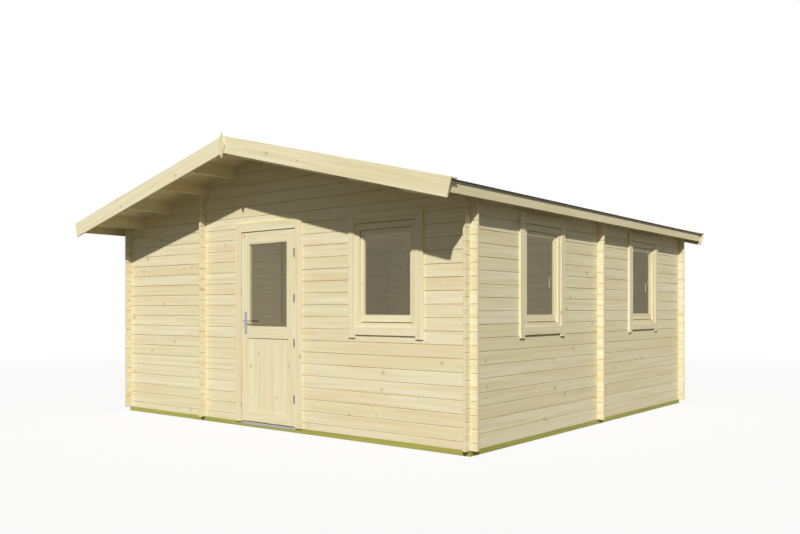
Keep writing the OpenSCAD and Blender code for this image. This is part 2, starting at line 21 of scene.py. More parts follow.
import bmesh
import bpy
import numpy as np
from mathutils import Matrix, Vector


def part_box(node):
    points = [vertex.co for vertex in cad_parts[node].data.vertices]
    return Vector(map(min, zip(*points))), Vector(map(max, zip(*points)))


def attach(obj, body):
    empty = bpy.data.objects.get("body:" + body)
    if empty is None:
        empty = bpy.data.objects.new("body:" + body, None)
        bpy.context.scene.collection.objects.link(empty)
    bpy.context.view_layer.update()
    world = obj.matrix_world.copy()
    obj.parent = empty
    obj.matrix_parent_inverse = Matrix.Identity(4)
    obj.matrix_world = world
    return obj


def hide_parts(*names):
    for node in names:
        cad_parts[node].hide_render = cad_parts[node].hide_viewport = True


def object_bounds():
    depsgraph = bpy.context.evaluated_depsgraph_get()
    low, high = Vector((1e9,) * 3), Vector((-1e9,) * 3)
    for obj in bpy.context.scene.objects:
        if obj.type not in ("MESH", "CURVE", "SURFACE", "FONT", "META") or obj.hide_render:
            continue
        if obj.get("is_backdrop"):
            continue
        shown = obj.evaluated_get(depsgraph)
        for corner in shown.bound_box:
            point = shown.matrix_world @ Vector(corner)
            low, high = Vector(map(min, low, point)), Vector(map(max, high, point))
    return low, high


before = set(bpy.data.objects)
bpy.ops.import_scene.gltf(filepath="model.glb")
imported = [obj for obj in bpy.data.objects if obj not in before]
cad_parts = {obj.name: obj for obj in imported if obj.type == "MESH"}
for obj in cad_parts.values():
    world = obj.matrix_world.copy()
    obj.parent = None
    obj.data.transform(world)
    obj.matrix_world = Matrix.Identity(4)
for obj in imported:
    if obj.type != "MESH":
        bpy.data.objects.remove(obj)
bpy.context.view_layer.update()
log = logging.getLogger("cabin")
SEED = 28
chance = np.random.default_rng(SEED)

X = np.array([1.0, 0.0, 0.0])
Y = np.array([0.0, 1.0, 0.0])
Z = np.array([0.0, 0.0, 1.0])

Pair = tuple[float, float]
Colour = tuple[float, float, float, float]
WHITE: Colour = (1.0, 1.0, 1.0, 1.0)


class Body(Enum):
    """The bodies that pieces ride on."""

    CABIN = "cabin"
    DOOR = "door"
    HANDLE = "handle"


class Slot(Enum):
    """The record's material slots."""

    PINE = "pine"
    TREATED = "treated_pine"
    FELT = "roofing_felt"
    GLASS = "glass"
    STEEL = "steel"
    ALUMINIUM = "aluminium"


class Side(Enum):
    """The two slopes and the two side walls."""

    LEFT = -1
    RIGHT = 1


# ---------------------------------------------------------------- shader maths


class Tone:
    """A value in a shader, which Python's operators extend with Math nodes."""

    def __init__(self, bench: Bench, socket: bpy.types.NodeSocket) -> None:
        """Wraps a socket.

        Args:
            bench: the node tree that the socket belongs to.
            socket: an output socket that holds a value.
        """
        self.bench = bench
        self.socket = socket

    def maths(self, operation: str, *others: Tone | float) -> Tone:
        """Adds one Math node.

        Args:
            operation: the node's operation.
            others: the values after this one.

        Returns:
            The node's result.
        """
        values = dict(enumerate((self, *others)))
        node = self.bench.node("ShaderNodeMath", {"operation": operation}, values)
        return Tone(self.bench, node.outputs[0])

    def __add__(self, other: Tone | float) -> Tone:
        """This plus other."""
        return self.maths("ADD", other)

    __radd__ = __add__

    def __mul__(self, other: Tone | float) -> Tone:
        """This times other."""
        return self.maths("MULTIPLY", other)

    __rmul__ = __mul__

    def __sub__(self, other: Tone | float) -> Tone:
        """This less other."""
        return self.maths("SUBTRACT", other)

    def __rsub__(self, other: float) -> Tone:
        """Other less this."""
        return self * -1.0 + other

    def __truediv__(self, other: Tone | float) -> Tone:
        """This over other."""
        return self.maths("DIVIDE", other)

    def root(self) -> Tone:
        """Square root."""
        return self.maths("SQRT")

    def part(self) -> Tone:
        """What is left after the whole number."""
        return self.maths("FRACT")

    def over(self, edge: Tone | float) -> Tone:
        """1 where this is over the edge, else 0."""
        return self.maths("GREATER_THAN", edge)

    def ramp(self, low: Tone | float, high: Tone | float) -> Tone:
        """Smooth step.

        Args:
            low: where the result is 0.
            high: where the result is 1; it may be under low.

        Returns:
            A value from 0 to 1.
        """
        node = self.bench.node(
            "ShaderNodeMapRange",
            {"interpolation_type": "SMOOTHSTEP"},
            {0: self, 1: low, 2: high, 3: 0.0, 4: 1.0},
        )
        return Tone(self.bench, node.outputs[0])


class Bench:
    """The node tree of one finish, with short calls that add nodes to it."""

    def __init__(self, tree: bpy.types.NodeTree) -> None:
        """Clears the tree and keeps it.

        Args:
            tree: the tree of a material or a world.
        """
        self.tree = tree
        tree.nodes.clear()

    def node(
        self, kind: str, settings: dict[str, object], values: dict[int | str, object]
    ) -> bpy.types.Node:
        """Adds one node.

        Args:
            kind: the node's type.
            settings: its settings, which are set first.
            values: its inputs by name or number: numbers, colours, tones or
                sockets.

        Returns:
            The node.
        """
        node = self.tree.nodes.new(kind)
        for key, value in settings.items():
            setattr(node, key, value)
        for key, value in values.items():
            if isinstance(value, Tone):
                value = value.socket
            if isinstance(value, bpy.types.NodeSocket):
                self.tree.links.new(value, node.inputs[key])
            else:
                node.inputs[key].default_value = value
        return node

    def vector(
        self, x: Tone | float, y: Tone | float, z: Tone | float
    ) -> bpy.types.NodeSocket:
        """A vector's socket from three values."""
        made = self.node("ShaderNodeCombineXYZ", {}, {0: x, 1: y, 2: z})
        return made.outputs[0]

    def parts(self, vector: bpy.types.NodeSocket) -> tuple[Tone, Tone, Tone]:
        """The three values of a vector's socket."""
        split = self.node("ShaderNodeSeparateXYZ", {}, {0: vector})
        return tuple(Tone(self, out) for out in split.outputs)

    def noise(
        self,
        vector: bpy.types.NodeSocket,
        scale: float = 1.0,
        detail: float = 2.0,
        roughness: float = 0.5,
    ) -> Tone:
        """Noise from 0 to 1 at a place.

        Args:
            vector: the place.
            scale: how fine it is.
            detail: how many finer layers it has.
            roughness: how strong those are.

        Returns:
            The noise.
        """
        values = dict(Vector=vector, Scale=scale, Detail=detail, Roughness=roughness)
        return Tone(self, self.node("ShaderNodeTexNoise", {}, values).outputs[0])

    def mix(
        self, factor: Tone | float, low: object, high: object
    ) -> bpy.types.NodeSocket:
        """A colour between two.

        Args:
            factor: 0 gives low and 1 gives high.
            low: a colour or its socket.
            high: a colour or its socket.

        Returns:
            The mixed colour's socket.
        """
        values = {0: factor, 6: low, 7: high}
        return self.node("ShaderNodeMix", {"data_type": "RGBA"}, values).outputs[2]

    def drawn(
        self,
        place: tuple[Tone, Tone, Tone],
        scales: Pair,
        detail: float = 2.0,
        roughness: float = 0.5,
    ) -> Tone:
        """Noise from 0 to 1 that is drawn out along a board.

        Args:
            place: the place along the board, across it and through it.
            scales: how fine it is along the board, and square to that.
            detail: how many finer layers it has.
            roughness: how strong those are.

        Returns:
            The noise.
        """
        (along, across, through), (fine, finer) = place, scales
        where = self.vector(along * fine, across * finer, through * finer)
        return self.noise(where, 1.0, detail, roughness)

    def bump(
        self, height: Tone, distance: float, strength: float
    ) -> bpy.types.NodeSocket:
        """A normal's socket from a height.

        Args:
            height: the height, about 0 to 1.
            distance: what 1 stands for.
            strength: how much of it shows.

        Returns:
            The normal's socket.
        """
        values = {"Height": height, "Distance": distance, "Strength": strength}
        return self.node("ShaderNodeBump", {}, values).outputs[0]


def shade(red: int, green: int, blue: int) -> Colour:
    """A colour as a screen shows it, as the linear colour that shaders use.

    Each channel c from 0 to 1 becomes ((c + 0.055) / 1.055) ** 2.4.

    Args:
        red: 0 to 255.
        green: 0 to 255.
        blue: 0 to 255.

    Returns:
        Red, green, blue and an alpha of 1.
    """
    linear = [((c / 255 + 0.055) / 1.055) ** 2.4 for c in (red, green, blue)]
    return (*linear, 1.0)


# -------------------------------------------------------------------- finishes


@dataclass(frozen=True)
class Finish:
    """What every finish has: a name and the slot that it belongs to."""

    name: str
    slot: Slot

    def material(self) -> bpy.types.Material:
        """The finish's material, made the first time that it is asked for."""
        found = bpy.data.materials.get(self.name)
        if found:
            return found
        made = bpy.data.materials.new(self.name)
        made.use_nodes = True
        bench = Bench(made.node_tree)
        surface = self.surface(bench)
        bench.node("ShaderNodeOutputMaterial", {}, {"Surface": surface})
        return made

    def surface(self, bench: Bench) -> bpy.types.NodeSocket:
        """Builds the nodes and returns the shader's socket."""
        raise NotImplementedError


@dataclass(frozen=True)
class Timber(Finish):
    """Planed softwood: rings, streaks, fibres and knots, board by board.

    Two scales say how fine a pattern is along the board and square to it, and
    a share says how much of its colour shows where the pattern is strongest.
    """

    pale: Colour = shade(241, 234, 202)
    deep: Colour = shade(224, 209, 160)
    heart: Colour = shade(230, 211, 168)
    knot: Colour = shade(172, 142, 98)
    rim: Colour = shade(206, 182, 130)
    ring_gap: float = 0.0042
    ring_share: float = 0.22
    bend: float = 0.016
    bend_scales: Pair = (0.8, 5.0)
    streak_scales: Pair = (0.9, 30.0)
    streak_share: float = 0.75
    fibre_scales: Pair = (9.0, 420.0)
    fibre_share: float = 0.12
    patch_scales: Pair = (0.5, 7.0)
    patch_share: float = 0.45
    tint_share: float = 0.42
    knot_gap: float = 0.52
    knot_row: float = 0.115
    knotty: float = 0.45
    knot_least: float = 0.002
    knot_spread: float = 0.008
    knot_share: float = 0.75
    halo_share: float = 0.4
    halo_push: float = 0.004
    relief: float = 0.0005
    relief_share: float = 0.55
    roughness: float = 0.6
    gloss: float = 0.32

    def surface(self, bench: Bench) -> bpy.types.NodeSocket:
        """Builds the nodes and returns the shader's socket."""
        grain, tint = (
            bench.node("ShaderNodeAttribute", {"attribute_name": name}, {})
            for name in ("grain", "tint")
        )
        place = bench.parts(grain.outputs["Vector"])
        dark = Tone(bench, tint.outputs["Fac"])
        along, across, through = place
        core, halo = self._knots(bench, along, across)
        bend = bench.drawn(place, self.bend_scales) - 0.5
        radius = (across * across + through * through).root() + bend * self.bend
        ring = ((radius + halo * self.halo_push) / self.ring_gap).part()
        # Late wood darkens slowly outwards and ends sharply at the next ring
        late = ring.ramp(0.35, 0.9) * ring.ramp(1.0, 0.93)
        streak = bench.drawn(place, self.streak_scales, 4.0, 0.6)
        fibre = bench.drawn(place, self.fibre_scales)
        patch = bench.drawn(place, self.patch_scales)
        colour = self.pale
        for share, layer in (
            (streak.ramp(0.4, 0.72) * self.streak_share, self.deep),
            (patch.ramp(0.45, 0.75) * self.patch_share, self.heart),
            (late * self.ring_share, self.rim),
            (fibre.ramp(0.5, 0.8) * self.fibre_share, self.rim),
            (dark.ramp(0.0, 1.0) * self.tint_share, self.deep),
            (halo * self.halo_share, self.rim),
            (core * self.knot_share, self.knot),
        ):
            colour = bench.mix(share, colour, layer)
        height = fibre * 0.35 + late * 0.5 + core * 0.6
        values = {
            "Base Color": colour,
            "Roughness": fibre * 0.14 + (self.roughness - 0.05),
            "Normal": bench.bump(height, self.relief, self.relief_share),
            "Specular IOR Level": self.gloss,
        }
        return bench.node("ShaderNodeBsdfPrincipled", {}, values).outputs[0]

    def _knots(self, bench: Bench, along: Tone, across: Tone) -> tuple[Tone, Tone]:
        """Where knots are.

        Each cell of a grid of knot_gap by knot_row may hold one knot, at the
        cell's own random place and of a size from knot_least up, by as much as
        knot_spread.  The share of cells that do is knotty.

        Args:
            bench: the finish's node tree.
            along: place along the board.
            across: place across the board.

        Returns:
            1 inside a knot, and a value that fades out round it.
        """
        where = bench.vector(along / self.knot_gap, across / self.knot_row, 0.0)
        cells = bench.node(
            "ShaderNodeTexVoronoi",
            {"voronoi_dimensions": "2D"},
            {"Vector": where, "Scale": 1.0},
        )
        centre_along, centre_across, _ = bench.parts(cells.outputs["Position"])
        size_chance, here_chance, _ = bench.parts(cells.outputs["Color"])
        far_along = (along - centre_along * self.knot_gap) * 0.8
        far_across = across - centre_across * self.knot_row
        distance = (far_along * far_along + far_across * far_across).root()
        size = size_chance * size_chance * self.knot_spread + self.knot_least
        here = here_chance.over(1.0 - self.knotty)
        core = distance.ramp(size * 1.15, size * 0.8) * here
        halo = distance.ramp(size * 4.5, size) * here
        return core, halo


@dataclass(frozen=True)
class Mineral(Finish):
    """Roofing felt with mineral granules pressed into it."""

    dark: Colour = shade(46, 46, 47)
    light: Colour = shade(92, 92, 92)
    granule: float = 0.0022
    mottle: float = 0.55
    cloud_scale: float = 2.4
    cloud_share: float = 0.35
    relief: float = 0.0006

    def surface(self, bench: Bench) -> bpy.types.NodeSocket:
        """Builds the nodes and returns the shader's socket."""
        where = bench.node("ShaderNodeTexCoord", {}, {}).outputs["Object"]
        grit = bench.node(
            "ShaderNodeTexVoronoi", {}, {"Vector": where, "Scale": 1.0 / self.granule}
        )
        chance_red, _, _ = bench.parts(grit.outputs["Color"])
        cloud = bench.noise(where, self.cloud_scale, 4.0)
        colour = bench.mix(chance_red * self.mottle, self.dark, self.light)
        colour = bench.mix(cloud.ramp(0.35, 0.7) * self.cloud_share, colour, self.dark)
        values = {
            "Base Color": colour,
            "Roughness": 0.92,
            "Normal": bench.bump(Tone(bench, grit.outputs["Distance"]), self.relief, 0.8),
        }
        return bench.node("ShaderNodeBsdfPrincipled", {}, values).outputs[0]


@dataclass(frozen=True)
class Pane(Finish):
    """Float glass: what is behind it, with the surroundings reflected.

    The share reflected is least + rise * Fresnel on the outer face, and 0 where
    a ray leaves the glass.
    """

    tint: Colour = (0.95, 0.945, 0.92, 1.0)
    index: float = 1.5
    least: float = 0.085
    rise: float = 0.15
    sheen: Colour = (1.0, 0.98, 0.82, 1.0)
    roughness: float = 0.02

    def surface(self, bench: Bench) -> bpy.types.NodeSocket:
        """Builds the nodes and returns the shader's socket."""
        clear = bench.node("ShaderNodeBsdfTransparent", {}, {"Color": self.tint})
        values = {"Color": self.sheen, "Roughness": self.roughness}
        gloss = bench.node("ShaderNodeBsdfGlossy", {}, values)
        mirror = bench.node("ShaderNodeFresnel", {}, {"IOR": self.index})
        back = Tone(bench, bench.node("ShaderNodeNewGeometry", {}, {}).outputs["Backfacing"])
        share = (Tone(bench, mirror.outputs[0]) * self.rise + self.least) * (1.0 - back)
        values = {0: share, 1: clear.outputs[0], 2: gloss.outputs[0]}
        return bench.node("ShaderNodeMixShader", {}, values).outputs[0]


@dataclass(frozen=True)
class Metal(Finish):
    """Brushed metal, with its scratches along one of the object's axes."""

    colour: Colour = shade(178, 178, 182)
    roughness: float = 0.34
    brushed: tuple[float, float, float] = (900.0, 900.0, 12.0)
    wear_scale: float = 34.0
    wear_share: float = 0.5
    worn: float = 0.72
    scratch_depth: float = 0.00006

    def surface(self, bench: Bench) -> bpy.types.NodeSocket:
        """Builds the nodes and returns the shader's socket."""
        where = bench.node("ShaderNodeTexCoord", {}, {}).outputs["Object"]
        x, y, z = bench.parts(where)
        scale_x, scale_y, scale_z = self.brushed
        scratch = bench.noise(bench.vector(x * scale_x, y * scale_y, z * scale_z))
        wear = bench.noise(where, self.wear_scale, 3.0)
        dim = (*(c * self.worn for c in self.colour[:3]), 1.0)
        values = {
            "Base Color": bench.mix(wear.ramp(0.45, 0.8) * self.wear_share, self.colour, dim),
            "Metallic": 1.0,
            "Roughness": scratch * 0.16 + wear * 0.1 + (self.roughness - 0.12),
            "Normal": bench.bump(scratch, self.scratch_depth, 0.6),
        }
        return bench.node("ShaderNodeBsdfPrincipled", {}, values).outputs[0]


PINE = Timber("planed_pine", Slot.PINE)
TREATED = Timber(
    "impregnated_pine",
    Slot.TREATED,
    pale=shade(182, 180, 96),
    deep=shade(152, 152, 68),
    heart=shade(168, 160, 78),
    knot=shade(84, 70, 34),
    rim=shade(128, 122, 54),
    roughness=0.7,
)
FELT = Mineral("mineral_felt", Slot.FELT)
GLASS = Pane("float_glass", Slot.GLASS)
STEEL = Metal("satin_steel", Slot.STEEL)
ZINC = Metal("aged_zinc", Slot.STEEL, colour=shade(112, 104, 88), roughness=0.5)
SILVER = Metal("silver_lacquer", Slot.STEEL, colour=shade(214, 213, 208))
ALUMINIUM = Metal(
    "mill_aluminium",
    Slot.ALUMINIUM,
    colour=shade(186, 187, 190),
    brushed=(12.0, 900.0, 900.0),
)


# ----------------------------------------------------------------- mesh maths


def eased(corners: np.ndarray, radius: float, steps: int = 3) -> np.ndarray:
    """Rounds the corners of a closed outline.

    A corner P becomes (1-t)^2 A + 2(1-t)t P + t^2 B for t from 0 to 1, where A
    and B lie a radius before and after P on its two edges.

    Args:
        corners: the outline, (n, 2), anticlockwise.
        radius: how far from the corner the rounding starts.
        steps: points on each rounding.

    Returns:
        The rounded outline, (n * steps, 2).
    """
    corner = np.asarray(corners, float)
    before = np.roll(corner, 1, 0) - corner
    after = np.roll(corner, -1, 0) - corner
    a = corner + radius * before / np.linalg.norm(before, axis=1)[:, None]
    b = corner + radius * after / np.linalg.norm(after, axis=1)[:, None]
    t = np.linspace(0, 1, steps)[None, :, None]
    p = corner[:, None]
    curve = (1 - t) ** 2 * a[:, None] + 2 * (1 - t) * t * p + t**2 * b[:, None]
    return curve.reshape(-1, 2)


def divided(outline: np.ndarray, step: float) -> np.ndarray:
    """Adds points to the long edges of a closed outline.

    An edge from P to Q of length l gets n = ceil(l / step) equal parts, with
    points P + (i / n) (Q - P).

    Args:
        outline: the outline, (n, 2).
        step: the longest part.

    Returns:
        The outline with the points added.
    """
    edge = np.roll(outline, -1, 0) - outline
    parts = np.maximum(1, np.ceil(np.linalg.norm(edge, axis=1) / step)).astype(int)
    which = np.repeat(np.arange(len(outline)), parts)
    first = np.repeat(np.cumsum(parts) - parts, parts)
    share = (np.arange(parts.sum()) - first) / parts[which]
    return outline[which] + share[:, None] * edge[which]


def bar_outline(width: float, thick: float, radius: float) -> np.ndarray:
    """Outline of a plain board with eased edges, centred on 0."""
    w, t = width / 2, thick / 2
    return eased(np.array([[-w, -t], [w, -t], [w, t], [-w, t]]), radius)


def vee_outline(width: float, thick: float, vee: float, both: bool) -> np.ndarray:
    """Outline of a jointed board, whose lower arrises are cut off.

    Args:
        width: across the board.
        thick: through the board.
        vee: how much of each arris is cut off.
        both: whether the upper arrises are cut too.

    Returns:
        The outline, centred on 0, anticlockwise.
    """
    w, t = width / 2, thick / 2
    top = vee if both else vee / 6
    corners = [
        [-w + vee, -t], [w - vee, -t], [w, -t + vee], [w, t - top],
        [w - top, t], [-w + top, t], [-w, t - top], [-w, -t + vee],
    ]
    return eased(np.array(corners), min(vee, top) / 3, 2)


def ring_outline(radius: float, count: int, power: float = 2.0) -> np.ndarray:
    """Circle, or a rounder square for a power over 2.

    The point at angle a is (c |c|^(2/p - 1), s |s|^(2/p - 1)) times the
    radius, where c and s are the angle's cosine and sine and p is the power.

    Args:
        radius: of the circle.
        count: how many points.
        power: 2 for a circle.

    Returns:
        The outline, (count, 2), anticlockwise.
    """
    angle = np.arange(count) * 2 * math.pi / count
    wave = np.stack([np.cos(angle), np.sin(angle)], 1)
    return radius * np.sign(wave) * np.abs(wave) ** (2 / power)


@dataclass
class Place:
    """Where a piece's own axes lie: right, inward from the face, and up."""

    origin: np.ndarray = field(default_factory=lambda: np.zeros(3))
    right: np.ndarray = field(default_factory=lambda: X.copy())
    inward: np.ndarray = field(default_factory=lambda: Y.copy())

    def world(self, local: np.ndarray) -> np.ndarray:
        """Local points in the frame: origin + x right + y inward + z up."""
        turn = np.stack([self.right, self.inward, Z])
        return self.origin + local @ turn


# How dark wood is, from 0 to 1: boards picked for one place, and cut ends; the darkest is also
# painted shade on the eave boards
PALE, EVEN, WARM, DEEP, SHADED, DARKEST = 0.2, 0.25, 0.3, 0.35, 0.4, 1.0
END_GRAIN = DARKEST
# Shapes of the beta distributions that other boards and logs are drawn from
BOARD_TINTS, LOG_TINTS = (2.0, 3.0), (1.8, 3.2)
# Where a board may lie in its tree: along it, off the pith, and out from it
TRUNK, OFF_PITH, OUT_OF_PITH = (0, 60), (-0.05, 0.05), (0.02, 0.09)
# Points closer than this are one, and edges sharper than this stay sharp
SAME_POINT, SHARP_EDGE = 2e-6, math.radians(32)


class Solids:
    """Closed solids that become one piece, in the axes of one place."""

    def __init__(self, place: Place | None = None) -> None:
        """Starts with nothing.

        Args:
            place: the axes that points are given in.
        """
        self.place = place or Place()
        self.points: list[np.ndarray] = []
        self.grain: list[np.ndarray] = []
        self.tint: list[np.ndarray] = []
        self.corners: list[np.ndarray] = []
        self.sizes: list[np.ndarray] = []
        self.count = 0

    def add(self, rings: np.ndarray, grain: np.ndarray, tint: float = 0.0) -> None:
        """Adds a solid made of outlines joined one to the next.

        Point j of ring i joins point j + 1 and the same points of ring i + 1.
        The first and last rings are closed by one face each.

        Args:
            rings: (n, k, 3) points, each ring anticlockwise about the way
                from the first ring to the last.
            grain: (n, k, 3) places inside the tree.
            tint: how dark the solid's wood is, 0 to 1, between its ends.
        """
        n, k, _ = rings.shape
        base = self.count + np.arange(n * k).reshape(n, k)
        turn = np.roll(base, -1, 1)
        quads = np.stack([base[:-1], turn[:-1], turn[1:], base[1:]], -1).reshape(-1)
        self.corners += [quads, base[0, ::-1], base[-1]]
        self.sizes.append(np.r_[np.full((n - 1) * k, 4), k, k])
        self.points.append(self.place.world(rings.reshape(-1, 3)))
        self.grain.append(grain.reshape(-1, 3))
        shades = np.full((n, k), tint)
        shades[[0, -1]] = END_GRAIN
        self.tint.append(shades.ravel())
        self.count += n * k

    def board(
        self,
        start: Sequence[float],
        end: Sequence[float],
        face: np.ndarray,
        outline: np.ndarray,
        cuts: tuple[Pair, Pair] = ((0, 0), (0, 0)),
        chamfer: float = 0.0012,
        tint: float | None = None,
    ) -> None:
        """Adds a board: an outline carried along a straight line.

        Ring i, point j is start + (s_i + u_i b_j + v_i c_j) A + b_j B + c_j C,
        where A runs along the board, C is its face's direction, B = C x A, b
        and c are the outline's two coordinates, and u and v slope the ends.
        The end rings are drawn in by the chamfer.  The wider of the two
        coordinates runs across the tree's rings.

        Args:
            start: middle of the first end.
            end: middle of the last end.
            face: the way that the outline's second coordinate runs.
            outline: (k, 2), anticlockwise, centred on 0.
            cuts: the slopes of the first and the last end, across and through.
            chamfer: how much the end arrises are eased.
            tint: how dark the wood is; random if none is given.
        """
        start, end = np.asarray(start, float), np.asarray(end, float)
        length = np.linalg.norm(end - start)
        along = (end - start) / length
        face = np.asarray(face, float)
        across = np.cross(face, along)
        half = np.abs(outline).max(0)
        station = np.array([0, chamfer, length - chamfer, length])
        shrink = np.ones((4, 1, 2))
        shrink[[0, 3]] -= chamfer / half
        slope = np.array([cuts[0], cuts[0], cuts[1], cuts[1]], float)
        flat = outline[None] * shrink
        travel = station[:, None] + (flat * slope[:, None]).sum(-1)
        rings = start + travel[..., None] * along
        rings = rings + flat[..., :1] * across + flat[..., 1:] * face
        section = flat if half[0] >= half[1] else flat[..., ::-1]
        inside = np.concatenate([travel[..., None], section], -1) + tree_place()
        if tint is None:
            tint = chance.beta(*BOARD_TINTS)
        self.add(rings, inside, tint)

    def turned(
        self,
        start: Sequence[float],
        along: np.ndarray,
        profile: Sequence[Sequence[float]],
        count: int = 24,
    ) -> None:
        """Adds a turned solid: circles of radius r_i at distance s_i along an axis.

        Args:
            start: where the axis starts.
            along: the axis, a unit vector.
            profile: (n, 2) distances and radii.
            count: points on each circle.
        """
        along = np.asarray(along, float)
        side = np.cross(along, X if abs(along[0]) < 0.9 else Y)
        side /= np.linalg.norm(side)
        other = np.cross(along, side)
        circle = ring_outline(1.0, count)
        profile = np.asarray(profile, float)
        rings = (
            np.asarray(start, float)
            + profile[:, None, :1] * along
            + profile[:, None, 1:] * (circle[:, :1] * side + circle[:, 1:] * other)
        )
        self.add(rings, rings)

    def piece(
        self,
        name: str,
        finish: Finish,
        body: Body,
        nodes: tuple[str, ...] = (),
        smooth: bool = False,
    ) -> bpy.types.Object:
        """Makes the mesh, dresses it and lets it ride on its body.

        Args:
            name: the piece's name.
            finish: what it is finished in.
            body: what it rides on.
            nodes: the frame's nodes that it stands for.
            smooth: whether its facets are shaded as curves.

        Returns:
            The piece.
        """
        mesh = bpy.data.meshes.new(name)
        points = np.concatenate(self.points)
        corners = np.concatenate(self.corners)
        sizes = np.concatenate(self.sizes)
        starts = np.cumsum(sizes) - sizes
        mesh.vertices.add(len(points))
        mesh.vertices.foreach_set("co", points.ravel())
        mesh.loops.add(len(corners))
        mesh.loops.foreach_set("vertex_index", corners)
        mesh.polygons.add(len(sizes))
        mesh.polygons.foreach_set("loop_start", starts)
        mesh.update(calc_edges=True)
        if isinstance(finish, Timber):
            grain = mesh.attributes.new("grain", "FLOAT_VECTOR", "POINT")
            grain.data.foreach_set("vector", np.concatenate(self.grain).ravel())
            tint = mesh.attributes.new("tint", "FLOAT", "POINT")
            tint.data.foreach_set("value", np.concatenate(self.tint))
        cleaned(mesh)
        if smooth:
            mesh.shade_smooth()
            mesh.set_sharp_from_angle(angle=SHARP_EDGE)
        else:
            mesh.shade_flat()
        made = bpy.data.objects.new(name, mesh)
        bpy.context.scene.collection.objects.link(made)
        return dressed(made, finish, body, nodes)


def cleaned(mesh: bpy.types.Mesh) -> None:
    """Joins points that fell together and drops faces that closed up."""
    work = bmesh.new()
    work.from_mesh(mesh)
    bmesh.ops.remove_doubles(work, verts=work.verts, dist=SAME_POINT)
    bmesh.ops.dissolve_degenerate(work, edges=work.edges, dist=SAME_POINT)
    work.to_mesh(mesh)
    work.free()


def dressed(
    made: bpy.types.Object, finish: Finish, body: Body, nodes: tuple[str, ...]
) -> bpy.types.Object:
    """Gives a piece its finish and body, and hides what it stands for.

    Args:
        made: the piece.
        finish: what it is finished in.
        body: what it rides on.
        nodes: the frame's nodes that it stands for.

    Returns:
        The same piece.
    """
    made.data.materials.append(finish.material())
    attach(made, body.value)
    if nodes:
        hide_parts(*nodes)
    log.info("%s: %d faces, rides on %s", made.name, len(made.data.polygons), body.value)
    return made


def tree_place() -> np.ndarray:
    """A random place in a tree for one board: along it, and from its pith."""
    along, across = chance.uniform(*TRUNK), chance.uniform(*OFF_PITH)
    return np.array([along, across, chance.choice([-1, 1]) * chance.uniform(*OUT_OF_PITH)])


def box(node: str) -> tuple[np.ndarray, np.ndarray]:
    """A node's lowest and highest corner."""
    low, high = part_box(node)
    return np.array(low), np.array(high)


# ------------------------------------------------------------ the cabin's lines


class Lines:
    """The lines that the whole cabin is set out from, read from the frame."""

    def __init__(self) -> None:
        """Reads the nodes' boxes."""
        gable_low, gable_high = box("front_gable")
        side_low, side_high = box("left_wall")
        deck_high = box("roof_deck_right")[1]
        self.front = gable_low[1]
        self.back = box("back_wall")[1][1]
        self.log = gable_high[1] - gable_low[1]
        self.wall = box("right_wall_upper")[1][0]
        self.log_end = gable_high[0] - self.wall
        self.sill = side_low[2]
        self.ridge = box("ridge_purlin")[1][2]
        self.middle = (self.front + self.back) / 2
        self.fall = (self.ridge - side_high[2]) / (self.wall - self.log)
        self.pitch = math.atan(self.fall)
        self.cos, self.sin = math.cos(self.pitch), math.sin(self.pitch)
        self.deck = (deck_high[2] - self.ridge) * self.cos
        self.slope = (deck_high[0] - self.deck * self.sin) / self.cos
        self.roof_front, self.roof_back = box("roof_deck_right")[0][1], deck_high[1]
        self.floor = box("floor_boards")[1][2]
        self.eave = self.ridge - self.wall * self.fall

    def on_slope(self, side: Side, down: float, out: float, y: float) -> np.ndarray:
        """A point on a slope.

        Args:
            side: which slope.
            down: distance down it from the ridge, along the boards' underside.
            out: distance square out from that underside.
            y: place along the ridge.

        Returns:
            The point.
        """
        x = side.value * (down * self.cos + out * self.sin)
        return np.array([x, y, self.ridge - down * self.sin + out * self.cos])

    def out_at(self, z: float) -> float:
        """How far out of the slopes a layer lies that meets at this height."""
        return (z - self.ridge) * self.cos

    def down_to(self, low: np.ndarray, high: np.ndarray, out: float) -> float:
        """How far down a slope a node's box reaches, at a distance out of it."""
        return (max(abs(low[0]), abs(high[0])) - out * self.sin) / self.cos

    def outward(self, side: Side) -> np.ndarray:
        """The way square out of a slope."""
        return np.array([side.value * self.sin, 0, self.cos])


# ------------------------------------------------------------------- log walls


# Heights and lengths past every log
FAR_LOW, FAR_HIGH = -9.0, 99.0


@dataclass
class Cut:
    """A stretch that a stack of logs leaves out: along it, and up it."""

    start: float
    end: float
    low: float = FAR_LOW
    high: float = FAR_HIGH


class Trim(Enum):
    """How the roof trims a stack: its ends, or its top."""

    ENDS = "ends"
    TOP = "top"


